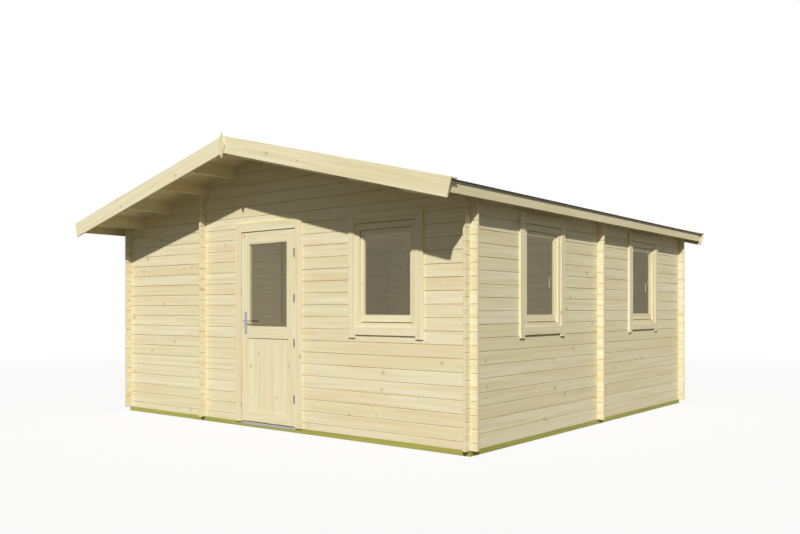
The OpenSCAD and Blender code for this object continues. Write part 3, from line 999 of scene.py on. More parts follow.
@dataclass
class Stack:
    """One wall's logs, each a solid of its own."""

    lines: Lines
    along: np.ndarray
    start: float
    end: float
    depth: float
    half_first: bool
    trim: Trim
    cuts: list[Cut]
    course: float = 0.114
    extra: float = 0.008
    groove: float = 0.0044
    groove_depth: float = 0.0036
    slot: float = 0.0017
    slot_depth: float = 0.0085
    end_chamfer: float = 0.0018
    step: float = 0.016
    most: int = 26
    foot_ease: float = 0.001
    nothing: float = 1e-4
    thinnest: float = 0.002

    def joints(self) -> np.ndarray:
        """Heights of the joints between logs, from the lowest."""
        first = self.extra + self.course * (0.5 if self.half_first else 1.0)
        return self.lines.sill + first + self.course * np.arange(self.most)

    def outline(self, height: float, lowest: bool) -> np.ndarray:
        """A log's outline: up the wall, and through it.

        Args:
            height: of this log.
            lowest: whether it lies on the sill beams, with a flat foot.

        Returns:
            The outline, (k, 2), anticlockwise, from height 0.
        """
        t = self.lines.log / 2
        g, d, s, deep = self.groove, self.groove_depth, self.slot, self.slot_depth
        joint = np.array([[0, deep], [s, deep], [s, d], [g, 0]])
        foot = np.array([[0, self.foot_ease], [self.foot_ease, 0]]) if lowest else joint
        half = np.r_[foot, ([height, 0] + joint * [-1, 1])[::-1]]
        corners = np.r_[half - [0, t], (half * [1, -1] + [0, t])[::-1]]
        return divided(eased(corners, self.slot / 2.5, 2), self.step)

    def stretches(self, low: float, high: float) -> list[tuple[float, float, float, float]]:
        """The stretches that a log is left with.

        Args:
            low: the log's lower joint.
            high: its upper joint.

        Returns:
            Start, end, lowest and highest point of each stretch.
        """
        near = self.nothing
        cuts = [c for c in self.cuts if c.low < high - near and c.high > low + near]
        marks = {self.start, self.end}
        marks |= {m for c in cuts for m in (c.start, c.end) if self.start < m < self.end}
        marks = sorted(marks)
        found: list[tuple[float, float, float, float]] = []
        for a, b in zip(marks, marks[1:]):
            bottom, top = low, high
            for c in cuts:
                if c.start < (a + b) / 2 < c.end:
                    if c.low <= low + near:
                        bottom = max(bottom, c.high)
                    else:
                        top = min(top, c.low)
            if top - bottom < self.thinnest:
                continue
            last = found[-1] if found else None
            if last and last[1] == a and last[2:] == (bottom, top):
                found[-1] = (last[0], b, bottom, top)
            else:
                found.append((a, b, bottom, top))
        return found

    def build(self, solids: Solids) -> None:
        """Adds every log to a piece.

        Args:
            solids: the piece.
        """
        joints = np.r_[self.lines.sill, self.joints()]
        for number, (low, high) in enumerate(zip(joints, joints[1:])):
            if low > self.lines.ridge - 2 * self.thinnest:
                break
            outline = self.outline(high - low, number == 0)
            inside = tree_place()
            tint = chance.beta(*LOG_TINTS)
            for stretch in self.stretches(low, high):
                self.stretch(solids, outline, low, high, stretch, inside, tint)

    def stretch(
        self,
        solids: Solids,
        outline: np.ndarray,
        low: float,
        high: float,
        part: tuple[float, float, float, float],
        inside: np.ndarray,
        tint: float,
    ) -> None:
        """Adds one stretch of a log.

        The outline is carried from one end to the other, its heights held
        between the stretch's lowest and highest point.  Then the roof trims
        it: a height z may reach (ridge - z) / fall along a gable, and a place
        x off the middle may reach ridge - |x| fall up a side wall.

        Args:
            solids: the piece that it goes into.
            outline: the log's outline.
            low: the log's lower joint.
            high: its upper joint.
            part: start, end, lowest and highest point of the stretch.
            inside: the log's place in its tree.
            tint: how dark it is.
        """
        start, end, bottom, top = part
        ease = self.end_chamfer
        station = np.array([start, start + ease, end - ease, end])
        shrink = np.ones((4, 1, 2))
        shrink[[0, 3]] -= 2 * ease / np.array([high - low, self.lines.log])
        centred = outline - [(high - low) / 2, 0]
        flat = centred[None] * shrink + [(low + high) / 2, 0]
        up = np.clip(flat[..., 0], bottom, top)
        travel = np.broadcast_to(station[:, None], up.shape)
        through = np.cross(self.along, Z)
        if self.trim is Trim.ENDS:
            reach = np.maximum(self.lines.ridge - up, 0) / self.lines.fall
            travel = np.clip(travel, -reach, reach)
        else:
            off = np.abs(self.depth + flat[..., 1] * through[0])
            off = np.maximum(off, np.abs(travel * self.along[0]))
            up = np.minimum(up, self.lines.ridge - off * self.lines.fall)
        if np.ptp(travel, 0).max() < self.nothing or np.ptp(up, 1).max() < self.thinnest / 2:
            return
        base = self.depth * np.abs(through)
        rings = base + travel[..., None] * self.along + up[..., None] * Z
        rings = rings + flat[..., 1:] * through
        grain = np.stack([travel, flat[..., 0] - low, flat[..., 1]], -1) + inside
        solids.add(rings, grain, tint)


@dataclass
class LogWalls:
    """The four log walls and the short cross logs that lock them."""

    lines: Lines
    fit: float = 0.0004

    def crossing(self, at: float, half_first: bool, height: float) -> list[Cut]:
        """What a log loses where another wall crosses it: its outer quarters.

        Args:
            at: where the crossing wall's middle is, along this one.
            half_first: whether this wall starts with half a log.
            height: how far up the crossing wall reaches.

        Returns:
            One cut for each log of the crossing wall.
        """
        stack = Stack(self.lines, X, 0, 0, 0, not half_first, Trim.TOP, [])
        middles = stack.joints() - stack.course / 2
        half, quarter = self.lines.log / 2 + self.fit, stack.course / 4
        return [
            Cut(at - half, at + half, m - quarter, m + quarter)
            for m in middles
            if m - quarter < height
        ]

    def purlin_cuts(self) -> list[Cut]:
        """Where the purlins run through a gable."""
        found = []
        for x, bottom in purlin_lines(self.lines):
            half = purlin_width() / 2 + self.fit
            found.append(Cut(x - half, x + half, bottom - self.fit))
        return found

    def build(self) -> None:
        """Makes every wall."""
        lines = self.lines
        half = lines.log / 2
        cross_x = box("cross_logs_gables")
        cross_at = (cross_x[0][0] + cross_x[1][0]) / 2
        cross_top = cross_x[1][2]
        corners = (-lines.wall + half, lines.wall - half)
        gable = [c for at in corners for c in self.crossing(at, True, lines.eave)]
        gable += self.crossing(cross_at, True, cross_top) + self.purlin_cuts()
        reach = lines.wall + lines.log_end
        door_left = box("front_wall_left")[1][0]
        door_right = box("front_wall_lower_right")[0][0]
        door_top = box("front_gable")[0][2]
        pane_left, pane_right = box("front_wall_middle"), box("front_wall_right")
        front = gable + [
            Cut(door_left, door_right, FAR_LOW, door_top),
            Cut(pane_left[1][0], pane_right[0][0], pane_left[0][2], door_top),
        ]
        self._wall(
            "front_log_wall", X, reach, lines.front + half, True, Trim.ENDS, front,
            ("front_wall_left", "front_wall_lower_right", "front_wall_middle",
             "front_wall_right", "front_gable"),
        )
        self._wall(
            "back_log_wall", X, reach, lines.back - half, True, Trim.ENDS, gable,
            ("back_wall",),
        )
        ends = (lines.front + half, lines.middle, lines.back - half)
        side = [c for at in ends for c in self.crossing(at, False, FAR_HIGH)]
        self._wall(
            "left_log_wall", Y, None, -lines.wall + half, False, Trim.TOP, side,
            ("left_wall",),
        )
        low, high = box("right_wall_lower")[1][2], box("right_wall_upper")[0][2]
        first, mid, last = (
            box("right_wall_front"), box("right_wall_middle"), box("right_wall_back")
        )
        holes = [
            Cut(first[1][1], mid[0][1], low, high),
            Cut(mid[1][1], last[0][1], low, high),
        ]
        self._wall(
            "right_log_wall", Y, None, lines.wall - half, False, Trim.TOP, side + holes,
            ("right_wall_lower", "right_wall_front", "right_wall_middle",
             "right_wall_back", "right_wall_upper"),
        )
        self._cross_logs(cross_at, cross_top)

    def _wall(
        self,
        name: str,
        along: np.ndarray,
        reach: float | None,
        depth: float,
        half_first: bool,
        trim: Trim,
        cuts: list[Cut],
        nodes: tuple[str, ...],
    ) -> None:
        """Makes one wall.

        Args:
            name: the piece's name.
            along: the way that its logs run.
            reach: half its length if it is centred, or None for a side wall.
            depth: where its middle plane is.
            half_first: whether it starts with half a log.
            trim: how the roof trims it.
            cuts: what it leaves out.
            nodes: the nodes that it stands for.
        """
        lines = self.lines
        start, end = lines.front - lines.log_end, lines.back + lines.log_end
        if reach is not None:
            start, end = -reach, reach
        solids = Solids()
        Stack(lines, along, start, end, depth, half_first, trim, cuts).build(solids)
        solids.piece(name, PINE, Body.CABIN, nodes)

    def _cross_logs(self, cross_at: float, cross_top: float) -> None:
        """Makes the short logs that cross the walls.

        Args:
            cross_at: where they cross the gable walls.
            cross_top: how high those ones reach, under the second purlin.
        """
        lines = self.lines
        half, over = lines.log / 2, lines.log + lines.log_end
        solids = Solids()
        for y in (lines.front, lines.back - lines.log):
            cuts = self.crossing(y + half, False, FAR_HIGH)
            cuts.append(Cut(FAR_LOW, FAR_HIGH, cross_top))
            Stack(
                lines, Y, y - lines.log_end, y + over, cross_at, False, Trim.TOP, cuts
            ).build(solids)
        solids.piece("gable_cross_logs", PINE, Body.CABIN, ("cross_logs_gables",))
        solids = Solids()
        for x in (-lines.wall, lines.wall - lines.log):
            cuts = self.crossing(x + half, True, lines.eave)
            Stack(
                lines, X, x - lines.log_end, x + over, lines.middle, True, Trim.TOP, cuts
            ).build(solids)
        solids.piece("side_cross_logs", PINE, Body.CABIN, ("cross_logs_sides",))


# ------------------------------------------------------------------------ roof


def purlin_width() -> float:
    """Width of a purlin."""
    low, high = box("ridge_purlin")
    return high[0] - low[0]


# Where the third purlin lies between the second and the last
THIRD_PURLIN = 0.53


def purlin_lines(lines: Lines) -> list[Pair]:
    """Middle and lowest height of every purlin, the ridge's included."""
    low, high = box("purlins_right")
    half = purlin_width() / 2
    first, last = low[0] + half, high[0] - half
    places = (first, 2 * first, 2 * first + THIRD_PURLIN * (last - 2 * first), last)
    height = lines.ridge - last * lines.fall - low[2]
    found = [(0.0, box("ridge_purlin")[0][2])]
    for x in places:
        bottom = lines.ridge - x * lines.fall - height
        found += [(-x, bottom), (x, bottom)]
    return found


@dataclass
class Roof:
    """Purlins, boards, felt, barge boards and trim."""

    lines: Lines
    board: float = 0.0955
    board_gap: float = 0.0006
    board_ease: float = 0.0006
    vee: float = 0.0035
    cap_width: float = 0.07
    barge_ease: float = 0.002
    diamond_arris: float = 0.002
    diamond_ease: float = 0.003
    arris: float = 0.0025
    sheet: float = 1.0
    lap: float = 0.09
    strip: float = 0.11
    ridge_strip: float = 0.19
    fascia: float = 0.018
    ripple: float = 0.0003
    clear: float = 0.0002
    rounds: tuple[int, int] = (60, 14)

    def build(self) -> None:
        """Makes the whole roof."""
        self.purlins()
        for side in Side:
            self.boards(side)
            self.sheets(side)
            self.barges(side)
            self.caps(side)
        self.fascias()
        self.diamonds()

    def purlins(self) -> None:
        """Makes the ridge purlin and the four each side, sloped on top."""
        lines = self.lines
        width = purlin_width()
        start, end = lines.roof_front, lines.roof_back
        groups = {
            "ridge_beam": (0, "ridge_purlin"),
            "left_purlin_beams": (-1, "purlins_left"),
            "right_purlin_beams": (1, "purlins_right"),
        }
        for name, (sign, node) in groups.items():
            solids = Solids()
            for x, bottom in purlin_lines(lines):
                if np.sign(x) != sign:
                    continue
                left, right = x - width / 2, x + width / 2
                tops = [lines.ridge - abs(v) * lines.fall for v in (right, x, left)]
                corners = [[left, bottom], [right, bottom], [right, tops[0]]]
                if sign == 0:
                    corners.append([x, tops[1]])
                corners.append([left, tops[2]])
                middle = np.array([x, (bottom + tops[1]) / 2])
                outline = eased(np.array(corners) - middle, self.arris / 2)
                # Along +Y with the outline's axes X and Z: the second axis runs
                # along the face's direction, so the board is set out backwards.
                solids.board(
                    [middle[0], end, middle[1]], [middle[0], start, middle[1]], Z, outline
                )
            solids.piece(name, PINE, Body.CABIN, (node,))

    def boards(self, side: Side) -> None:
        """Makes one slope's boards, from the ridge to the eave.

        Args:
            side: which slope.
        """
        lines = self.lines
        solids = Solids()
        run = lines.roof_back - lines.roof_front
        count = round(run / self.board)
        pitch = run / count
        outline = vee_outline(pitch - self.board_gap, lines.deck, self.vee, False)
        face = lines.outward(side)
        half = lines.deck / 2
        for y in lines.roof_front + pitch * (np.arange(count) + 0.5):
            top = np.array([0, y, lines.ridge + half / lines.cos])
            foot = lines.on_slope(side, lines.slope, half, y)
            cuts = ((0, -lines.fall), (0, 0))
            solids.board(top, foot, face, outline, cuts, self.board_ease)
        name = side.name.lower()
        solids.piece(f"{name}_roof_boards", PINE, Body.CABIN, (f"roof_deck_{name}",))

    def sheets(self, side: Side) -> None:
        """Makes one slope's felt: sheets along the eave, each over the last.

        The lowest sheet lies over a strip along the eave, and a strip along
        the ridge lies over the highest.

        Args:
            side: which slope.
        """
        lines = self.lines
        name = side.name.lower()
        low, high = box(f"felt_{name}")
        thick = lines.out_at(high[2]) - lines.deck
        edge = lines.down_to(low, high, lines.deck + thick)
        solids = Solids()
        half = thick / 2
        self.sheet_strip(solids, side, edge - self.strip, edge, 0.0, half)
        foot, lap = edge, self.strip
        while foot > 0:
            top = max(foot - self.sheet, 0.0)
            self.sheet_strip(solids, side, top, foot, lap, half)
            foot, lap = (top + self.lap if top > 0 else 0.0), self.lap
        self.sheet_strip(solids, side, 0.0, self.ridge_strip, self.ridge_strip, half)
        solids.piece(f"{name}_felt_sheets", FELT, Body.CABIN, (f"felt_{name}",))

    def sheet_strip(
        self, solids: Solids, side: Side, top: float, foot: float, lap: float, thick: float
    ) -> None:
        """Adds one sheet of felt.

        Its underside lies at height 0 on the boards and climbs by its own
        thickness, along a straight ramp, to where it covers the sheet below:
        h = thick * clip((d - foot + 1.25 lap) / (0.25 lap), 0, 1) at a distance
        d down the slope.  The upper face adds a ripple of two slow waves.

        Args:
            solids: the piece that it goes into.
            side: which slope.
            top: where it starts, down the slope.
            foot: where it ends.
            lap: how much of it lies on the sheet below; 0 for none.
            thick: of the felt.
        """
        lines = self.lines
        y = np.linspace(lines.roof_front, lines.roof_back, self.rounds[0])
        down = np.linspace(top, foot, self.rounds[1])
        climb = (down - foot + 1.25 * lap) / max(0.25 * lap, 1e-6)
        lift = thick * np.clip(climb, 0, 1) if lap else np.zeros(len(down))
        under = np.stack([down, lines.deck + lift + self.clear], 1)
        above = under + [0, thick - 2 * self.ripple]
        ring = np.r_[under, above[::-1]]
        ripple = self.ripple * np.sin(y * 5.1 + top)[:, None] * np.sin(ring[:, 0] * 7.3)
        out = ring[:, 1] + ripple * (np.arange(len(ring)) >= len(down))
        s = side.value
        along = np.broadcast_to(ring[:, 0], out.shape)
        across = s * np.maximum(along * lines.cos + out * lines.sin * (along > 0), 0)
        up = lines.ridge - along * lines.sin + out * lines.cos
        points = np.stack([across, np.broadcast_to(y[:, None], out.shape), up], -1)
        solids.add(points[:, ::s], points[:, ::s])

    def barges(self, side: Side) -> None:
        """Makes one slope's barge boards, front and back.

        Args:
            side: which slope.
        """
        lines = self.lines
        name = side.name.lower()
        for end in ("front", "back"):
            node = f"barge_{end}_{name}"
            low, high = box(node)
            top = lines.out_at(high[2])
            length = lines.down_to(low, high, top)
            width = top - (low[2] - lines.ridge + length * lines.sin) / lines.cos
            out = top - width / 2
            y = (low[1] + high[1]) / 2
            outline = bar_outline(width, high[1] - low[1], self.arris)
            solids = Solids()
            solids.board(
                [0, y, lines.ridge + out / lines.cos],
                lines.on_slope(side, length, out, y),
                -side.value * Y,
                outline,
                ((-lines.fall, 0), (0, 0)),
                self.barge_ease,
                EVEN,
            )
            solids.piece(f"{end}_{name}_barge_board", PINE, Body.CABIN, (node,))

    def caps(self, side: Side) -> None:
        """Makes one slope's rake caps, which lie on the felt behind the barges.

        Args:
            side: which slope.
        """
        lines = self.lines
        name = side.name.lower()
        node = f"rake_caps_{name}"
        low, high = box(node)
        top = lines.out_at(high[2])
        base = lines.out_at(box(f"felt_{name}")[1][2])
        out = (top + base) / 2
        length = lines.down_to(low, high, top)
        outline = bar_outline(self.cap_width, top - base, self.arris)
        solids = Solids()
        for y in (low[1] + self.cap_width / 2, high[1] - self.cap_width / 2):
            solids.board(
                [0, y, lines.ridge + out / lines.cos],
                lines.on_slope(side, length, out, y),
                lines.outward(side),
                outline,
                ((0, -lines.fall), (0, 0)),
            )
        solids.piece(f"{name}_rake_caps", PINE, Body.CABIN, (node,))

    def fascias(self) -> None:
        """Makes the upright boards under the eaves, sloped on top."""
        lines = self.lines
        low, high = box("eave_fascias")
        solids = Solids()
        for side in Side:
            s = side.value
            edge, back = s * high[0], s * (high[0] - self.fascia)
            tops = [lines.ridge - abs(x) * lines.fall for x in (edge, back)]
            corners = [[back, low[2]], [edge, low[2]], [edge, tops[0]], [back, tops[1]]]
            middle = np.array([(edge + back) / 2, (low[2] + tops[0]) / 2])
            outline = np.array(corners[::s]) - middle
            # Painted shade: the eave boards take the darkest wood tone, which stands in for
            # the light a board leaning in square to the slope would lose
            solids.board(
                [middle[0], high[1], middle[1]],
                [middle[0], low[1], middle[1]],
                Z,
                eased(outline, self.arris / 2),
                tint=DARKEST,
            )
        solids.piece("eave_boards", PINE, Body.CABIN, ("eave_fascias",))

    def diamonds(self) -> None:
        """Makes the diamond on each gable's peak."""
        low, high = box("gable_diamonds")
        barge_front, barge_back = box("barge_front_left")[0], box("barge_back_left")[1]
        solids = Solids()
        for y0, y1 in ((low[1], barge_front[1]), (barge_back[1], high[1])):
            middle = (low[2] + high[2]) / 2
            half_x, half_z = (high[0] - low[0]) / 2, (high[2] - low[2]) / 2
            corners = np.array([[0, -half_z], [half_x, 0], [0, half_z], [-half_x, 0]])
            outline = eased(corners, self.diamond_arris)
            # The face's direction is up and the path runs along -Y, so the
            # outline's first coordinate runs along +X.
            solids.board(
                [0, y1, middle], [0, y0, middle], Z, outline, chamfer=self.diamond_ease
            )
        # The trunk lay in the diamond's face, and not along the path
        solids.grain = [g[:, [2, 1, 0]] for g in solids.grain]
        solids.piece("peak_diamonds", PINE, Body.CABIN, ("gable_diamonds",))


# ------------------------------------------------------- foundation and floor


@dataclass
class Base:
    """Sill beams, joists and floor boards."""

    lines: Lines
    board: float = 0.094
    board_gap: float = 0.0008
    vee: float = 0.002
    beam: float = 0.07
    beam_ease: float = 0.004
    arris: float = 0.003
    edge_gap: float = 0.008
    joist: float = 0.045
    joist_count: int = 7

    def build(self) -> None:
        """Makes the beams, joists and boards."""
        self.beams()
        self.joists()
        self.boards()

    def beams(self) -> None:
        """Makes the four sill beams, mitred at the corners."""
        lines = self.lines
        outline = bar_outline(self.beam, lines.sill, self.arris)
        half = self.beam / 2
        corner_x, corner_y = lines.wall - half, (lines.back - lines.front) / 2 - half
        runs = {
            "gable_sill_beams": ("sill_beams_gables", [(-1, -1, 1, -1), (1, 1, -1, 1)]),
            "side_sill_beams": ("sill_beams_sides", [(1, -1, 1, 1), (-1, 1, -1, -1)]),
        }
        for name, (node, ends) in runs.items():
            solids = Solids()
            for x0, y0, x1, y1 in ends:
                start = [x0 * corner_x, lines.middle + y0 * corner_y, lines.sill / 2]
                end = [x1 * corner_x, lines.middle + y1 * corner_y, lines.sill / 2]
                solids.board(start, end, Z, outline, ((1, 0), (-1, 0)), self.beam_ease)
            solids.piece(name, TREATED, Body.CABIN, (node,))

    def joists(self) -> None:
        """Makes the floor joists."""
        low, high = box("floor_joists")
        solids = Solids()
        outline = bar_outline(self.joist, high[2] - low[2], self.arris)
        middle, half = (low[2] + high[2]) / 2, self.joist / 2
        for y in np.linspace(low[1] + half, high[1] - half, self.joist_count):
            solids.board([low[0], y, middle], [high[0], y, middle], Z, outline)
        solids.piece("joist_beams", TREATED, Body.CABIN, ("floor_joists",))

    def boards(self) -> None:
        """Makes the floor boards, cut short round the cross logs."""
        lines = self.lines
        low, high = box("floor_boards")
        cross_low, cross_high = box("cross_logs_gables")
        stub = lines.log + lines.log_end + self.edge_gap
        count = round((high[0] - low[0]) / self.board)
        pitch = (high[0] - low[0]) / count
        thick = high[2] - low[2]
        outline = vee_outline(pitch - self.board_gap, thick, self.vee, True)
        solids = Solids()
        z = (low[2] + high[2]) / 2
        for x in low[0] + pitch * (np.arange(count) + 0.5):
            reach = pitch / 2 + self.edge_gap
            runs = [(low[1], high[1])]
            if cross_low[0] - reach < x < cross_high[0] + reach:
                runs = [(lines.front + stub, lines.back - stub)]
            if abs(x) > lines.wall - stub - pitch / 2:
                gap = lines.log / 2 + self.edge_gap
                runs = [(low[1], lines.middle - gap), (lines.middle + gap, high[1])]
            for start, end in runs:
                solids.board([x, start, z], [x, end, z], Z, outline)
        solids.piece("floor_board_set", PINE, Body.CABIN, ("floor_boards",))


# ---------------------------------------------------------------------- joinery


class Joinery:
    """What door and windows share: upright and level bars in one place."""

    def __init__(self, place: Place, arris: float = 0.0022) -> None:
        """Starts a piece.

        Args:
            place: right, inward and up for the bars' coordinates.
            arris: how far their edges are eased.
        """
        self.solids = Solids(place)
        self.arris = arris
        self.end_share = 0.6

    def bar(
        self,
        low: tuple[float, float, float],
        high: tuple[float, float, float],
        tint: float | None = None,
    ) -> None:
        """Adds a bar that fills a box, its grain along the longer side.

        Args:
            low: left, outer and lower corner.
            high: right, inner and upper corner.
            tint: how dark its wood is; random if none is given.
        """
        a, b = np.array(low, float), np.array(high, float)
        middle, size = (a + b) / 2, b - a
        upright = size[2] >= size[0]
        axis = 2 if upright else 0
        width = size[0] if upright else size[2]
        start, end = middle.copy(), middle.copy()
        start[axis], end[axis] = a[axis], b[axis]
        radius = min(self.arris, size[1] / 3, width / 3)
        outline = bar_outline(width, size[1], radius)
        ease = radius * self.end_share
        self.solids.board(start, end, -Y, outline, chamfer=ease, tint=tint)

    def aside(
        self, side: Side, near: float, far: float, low: Pair, high: Pair,
        tint: float | None = None,
    ) -> None:
        """Adds a bar on one side of the middle.

        Args:
            side: which side.
            near: distance from the middle to one edge.
            far: distance to the other edge.
            low: outer and lower corner.
            high: inner and upper corner.
            tint: how dark its wood is; random if none is given.
        """
        left, right = sorted((side.value * near, side.value * far))
        self.bar((left, *low), (right, *high), tint)

    def across(
        self, half: float, low: Pair, high: Pair, tint: float | None = None
    ) -> None:
        """Adds a bar across the middle.

        Args:
            half: how far it reaches to each side.
            low: outer and lower corner.
            high: inner and upper corner.
            tint: how dark its wood is; random if none is given.
        """
        self.bar((-half, *low), (half, *high), tint)

    def beads(
        self, half: float, width: float, low: Pair, high: Pair, tint: float | None = None
    ) -> None:
        """Adds the four beads that hold a pane in its opening.

        Args:
            half: half the opening's width.
            width: how far the beads reach over the pane.
            low: outer and lower corner.
            high: inner and upper corner.
            tint: how dark their wood is; random if none is given.
        """
        shy = half - width
        for side in Side:
            self.aside(side, half, shy, low, high, tint)
        self.across(shy, low, (high[0], low[1] + width), tint)
        self.across(shy, (low[0], high[1] - width), high, tint)

    def piece(self, name: str, body: Body, nodes: tuple[str, ...] = ()) -> None:
        """Makes the piece, in pine."""
        self.solids.piece(name, PINE, body, nodes)


# How far a pane's edges and its ends are eased
PANE_ARRIS, PANE_EASE = 0.0008, 0.0006


def pane(
    name: str, place: Place, low: np.ndarray, high: np.ndarray, body: Body, node: str
) -> None:
    """Makes a sheet of glass.

    Args:
        name: the piece's name.
        place: the axes of low and high.
        low: left, outer and lower corner.
        high: right, inner and upper corner.
        body: what it rides on.
        node: the node that it stands for.
    """
    solids = Solids(place)
    size = high - low
    middle = (low + high) / 2
    outline = bar_outline(size[0], size[1], PANE_ARRIS)
    start, end = middle - Z * size[2] / 2, middle + Z * size[2] / 2
    solids.board(start, end, -Y, outline, chamfer=PANE_EASE)
    solids.piece(name, GLASS, body, (node,))


def local_box(node: str, place: Place) -> tuple[np.ndarray, np.ndarray]:
    """A node's box in a place's own axes."""
    corners = np.array(box(node)) - place.origin
    turn = np.stack([place.right, place.inward, Z])
    both = corners @ turn.T
    return both.min(0), both.max(0)


@dataclass(frozen=True)
class Catch:
    """A window's turning handle: its plate, its neck and its grip."""

    plate_width: float = 0.026
    plate_half: float = 0.030
    plate_thick: float = 0.008
    plate_ease: float = 0.003
    reach: float = 0.036
    grip: float = 0.009
    grip_ease: float = 0.0005
    above: float = 0.012
    below: float = 0.095
    neck: tuple[Pair, ...] = (
        (0, 0.008), (0.026, 0.007), (0.034, 0.009), (0.036, 0.006)
    )


@dataclass
class Window:
    """One window: boards, frame, sash, glass and the handle inside."""

    node: str
    place: Place
    casing: float = 0.078
    proud: float = 0.020
    face: float = 0.010
    side: float = 0.047
    head: float = 0.060
    foot: float = 0.056
    stile: float = 0.030
    sash_head: float = 0.040
    sash_foot: float = 0.061
    drip: float = 0.0055
    settling: float = 0.005
    head_board: float = 0.090
    below: float = 0.084
    apron: float = 0.074
    apron_below: float = 0.055
    stop: float = 0.010
    bead: float = 0.009
    bead_in: float = 0.005
    inner: float = 0.020
    wall: float = 0.028
    glass_bite: float = 0.0005
    arris: float = 0.003
    catch: Catch = Catch()

    def build(self) -> None:
        """Makes every piece of the window."""
        self.frame()
        self.sash()
        self.handle()

    def frame(self) -> None:
        """Makes the frame and the boards round it, outside and inside."""
        low, high = local_box(f"{self.node}_frame", self.place)
        stop_y = local_box(f"{self.node}_sash", self.place)[1][1]
        x = high[0] - self.casing
        base, top = low[2] + self.below, high[2] - self.head_board
        back = self.wall + self.inner
        inner, shy = x - self.side, x - self.side - self.stop
        frame_top, lining_top = top - self.settling, top - self.head
        apron_low = base - self.apron_below
        made = Joinery(self.place)
        for side in Side:
            made.aside(side, x, inner, (-self.face, base), (stop_y, frame_top))
            made.aside(side, x, shy, (stop_y, base), (back, top))
            outer = x + self.casing
            made.aside(side, x, outer, (-self.proud, low[2]), (0, high[2]), PALE)
            made.aside(side, x, outer, (self.wall, apron_low), (back, high[2]))
        made.across(inner, (-self.face, lining_top), (stop_y, frame_top))
        made.across(inner, (-self.face, base), (stop_y, base + self.foot))
        made.across(shy, (stop_y, lining_top - self.stop), (back, top))
        made.across(shy, (stop_y, base), (back, base + self.foot + self.stop))
        made.across(x, (-self.proud, top), (0, high[2]), WARM)
        made.across(x, (-self.proud, apron_low), (0, apron_low + self.apron), EVEN)
        made.across(x, (self.wall, top), (back, high[2]))
        made.across(x, (self.wall, apron_low), (back, base))
        made.piece(f"{self.node}_surround", Body.CABIN, (f"{self.node}_frame",))

    def sash(self) -> None:
        """Makes the sash, the beads on its inner side and its glass."""
        low, high = local_box(f"{self.node}_sash", self.place)
        glass_low, glass_high = local_box(f"{self.node}_glass", self.place)
        made = Joinery(self.place, self.arris)
        foot, head = low[2] + self.sash_foot, high[2] - self.sash_head
        under = low[2] + self.drip
        x = high[0] - self.stile
        for side in Side:
            made.aside(side, high[0], x, (low[1], under), high[1:])
        made.across(x, (low[1], under), (high[1], foot))
        made.across(x, (low[1], head), high[1:])
        made.beads(x, self.bead, (glass_high[1], foot), (high[1] - self.bead_in, head))
        made.piece(f"{self.node}_sash_bars", Body.CABIN, (f"{self.node}_sash",))
        bite = np.array([self.glass_bite, 0.0, self.glass_bite])
        glass_low[[0, 2]] = [-x, foot]
        glass_high[[0, 2]] = [x, head]
        pane(
            f"{self.node}_pane", self.place, glass_low + bite, glass_high - bite,
            Body.CABIN, f"{self.node}_glass",
        )

    def handle(self) -> None:
        """Makes the turning handle on the sash's inner face."""
        low, high = local_box(f"{self.node}_sash", self.place)
        catch = self.catch
        x, y, z = high[0] - self.stile / 2, high[1], (low[2] + high[2]) / 2
        solids = Solids(self.place)
        outline = bar_outline(catch.plate_width, catch.plate_thick, catch.plate_ease)
        at, half = y + catch.plate_thick / 2, catch.plate_half
        solids.board([x, at, z - half], [x, at, z + half], -Y, outline)
        solids.turned([x, y + catch.plate_thick, z], Y, catch.neck)
        outline = eased(ring_outline(catch.grip, 12), catch.grip_ease, 2)
        at = y + catch.reach
        solids.board([x, at, z + catch.above], [x, at, z - catch.below], -Y, outline)
        solids.piece(f"{self.node}_handle", SILVER, Body.CABIN, smooth=True)


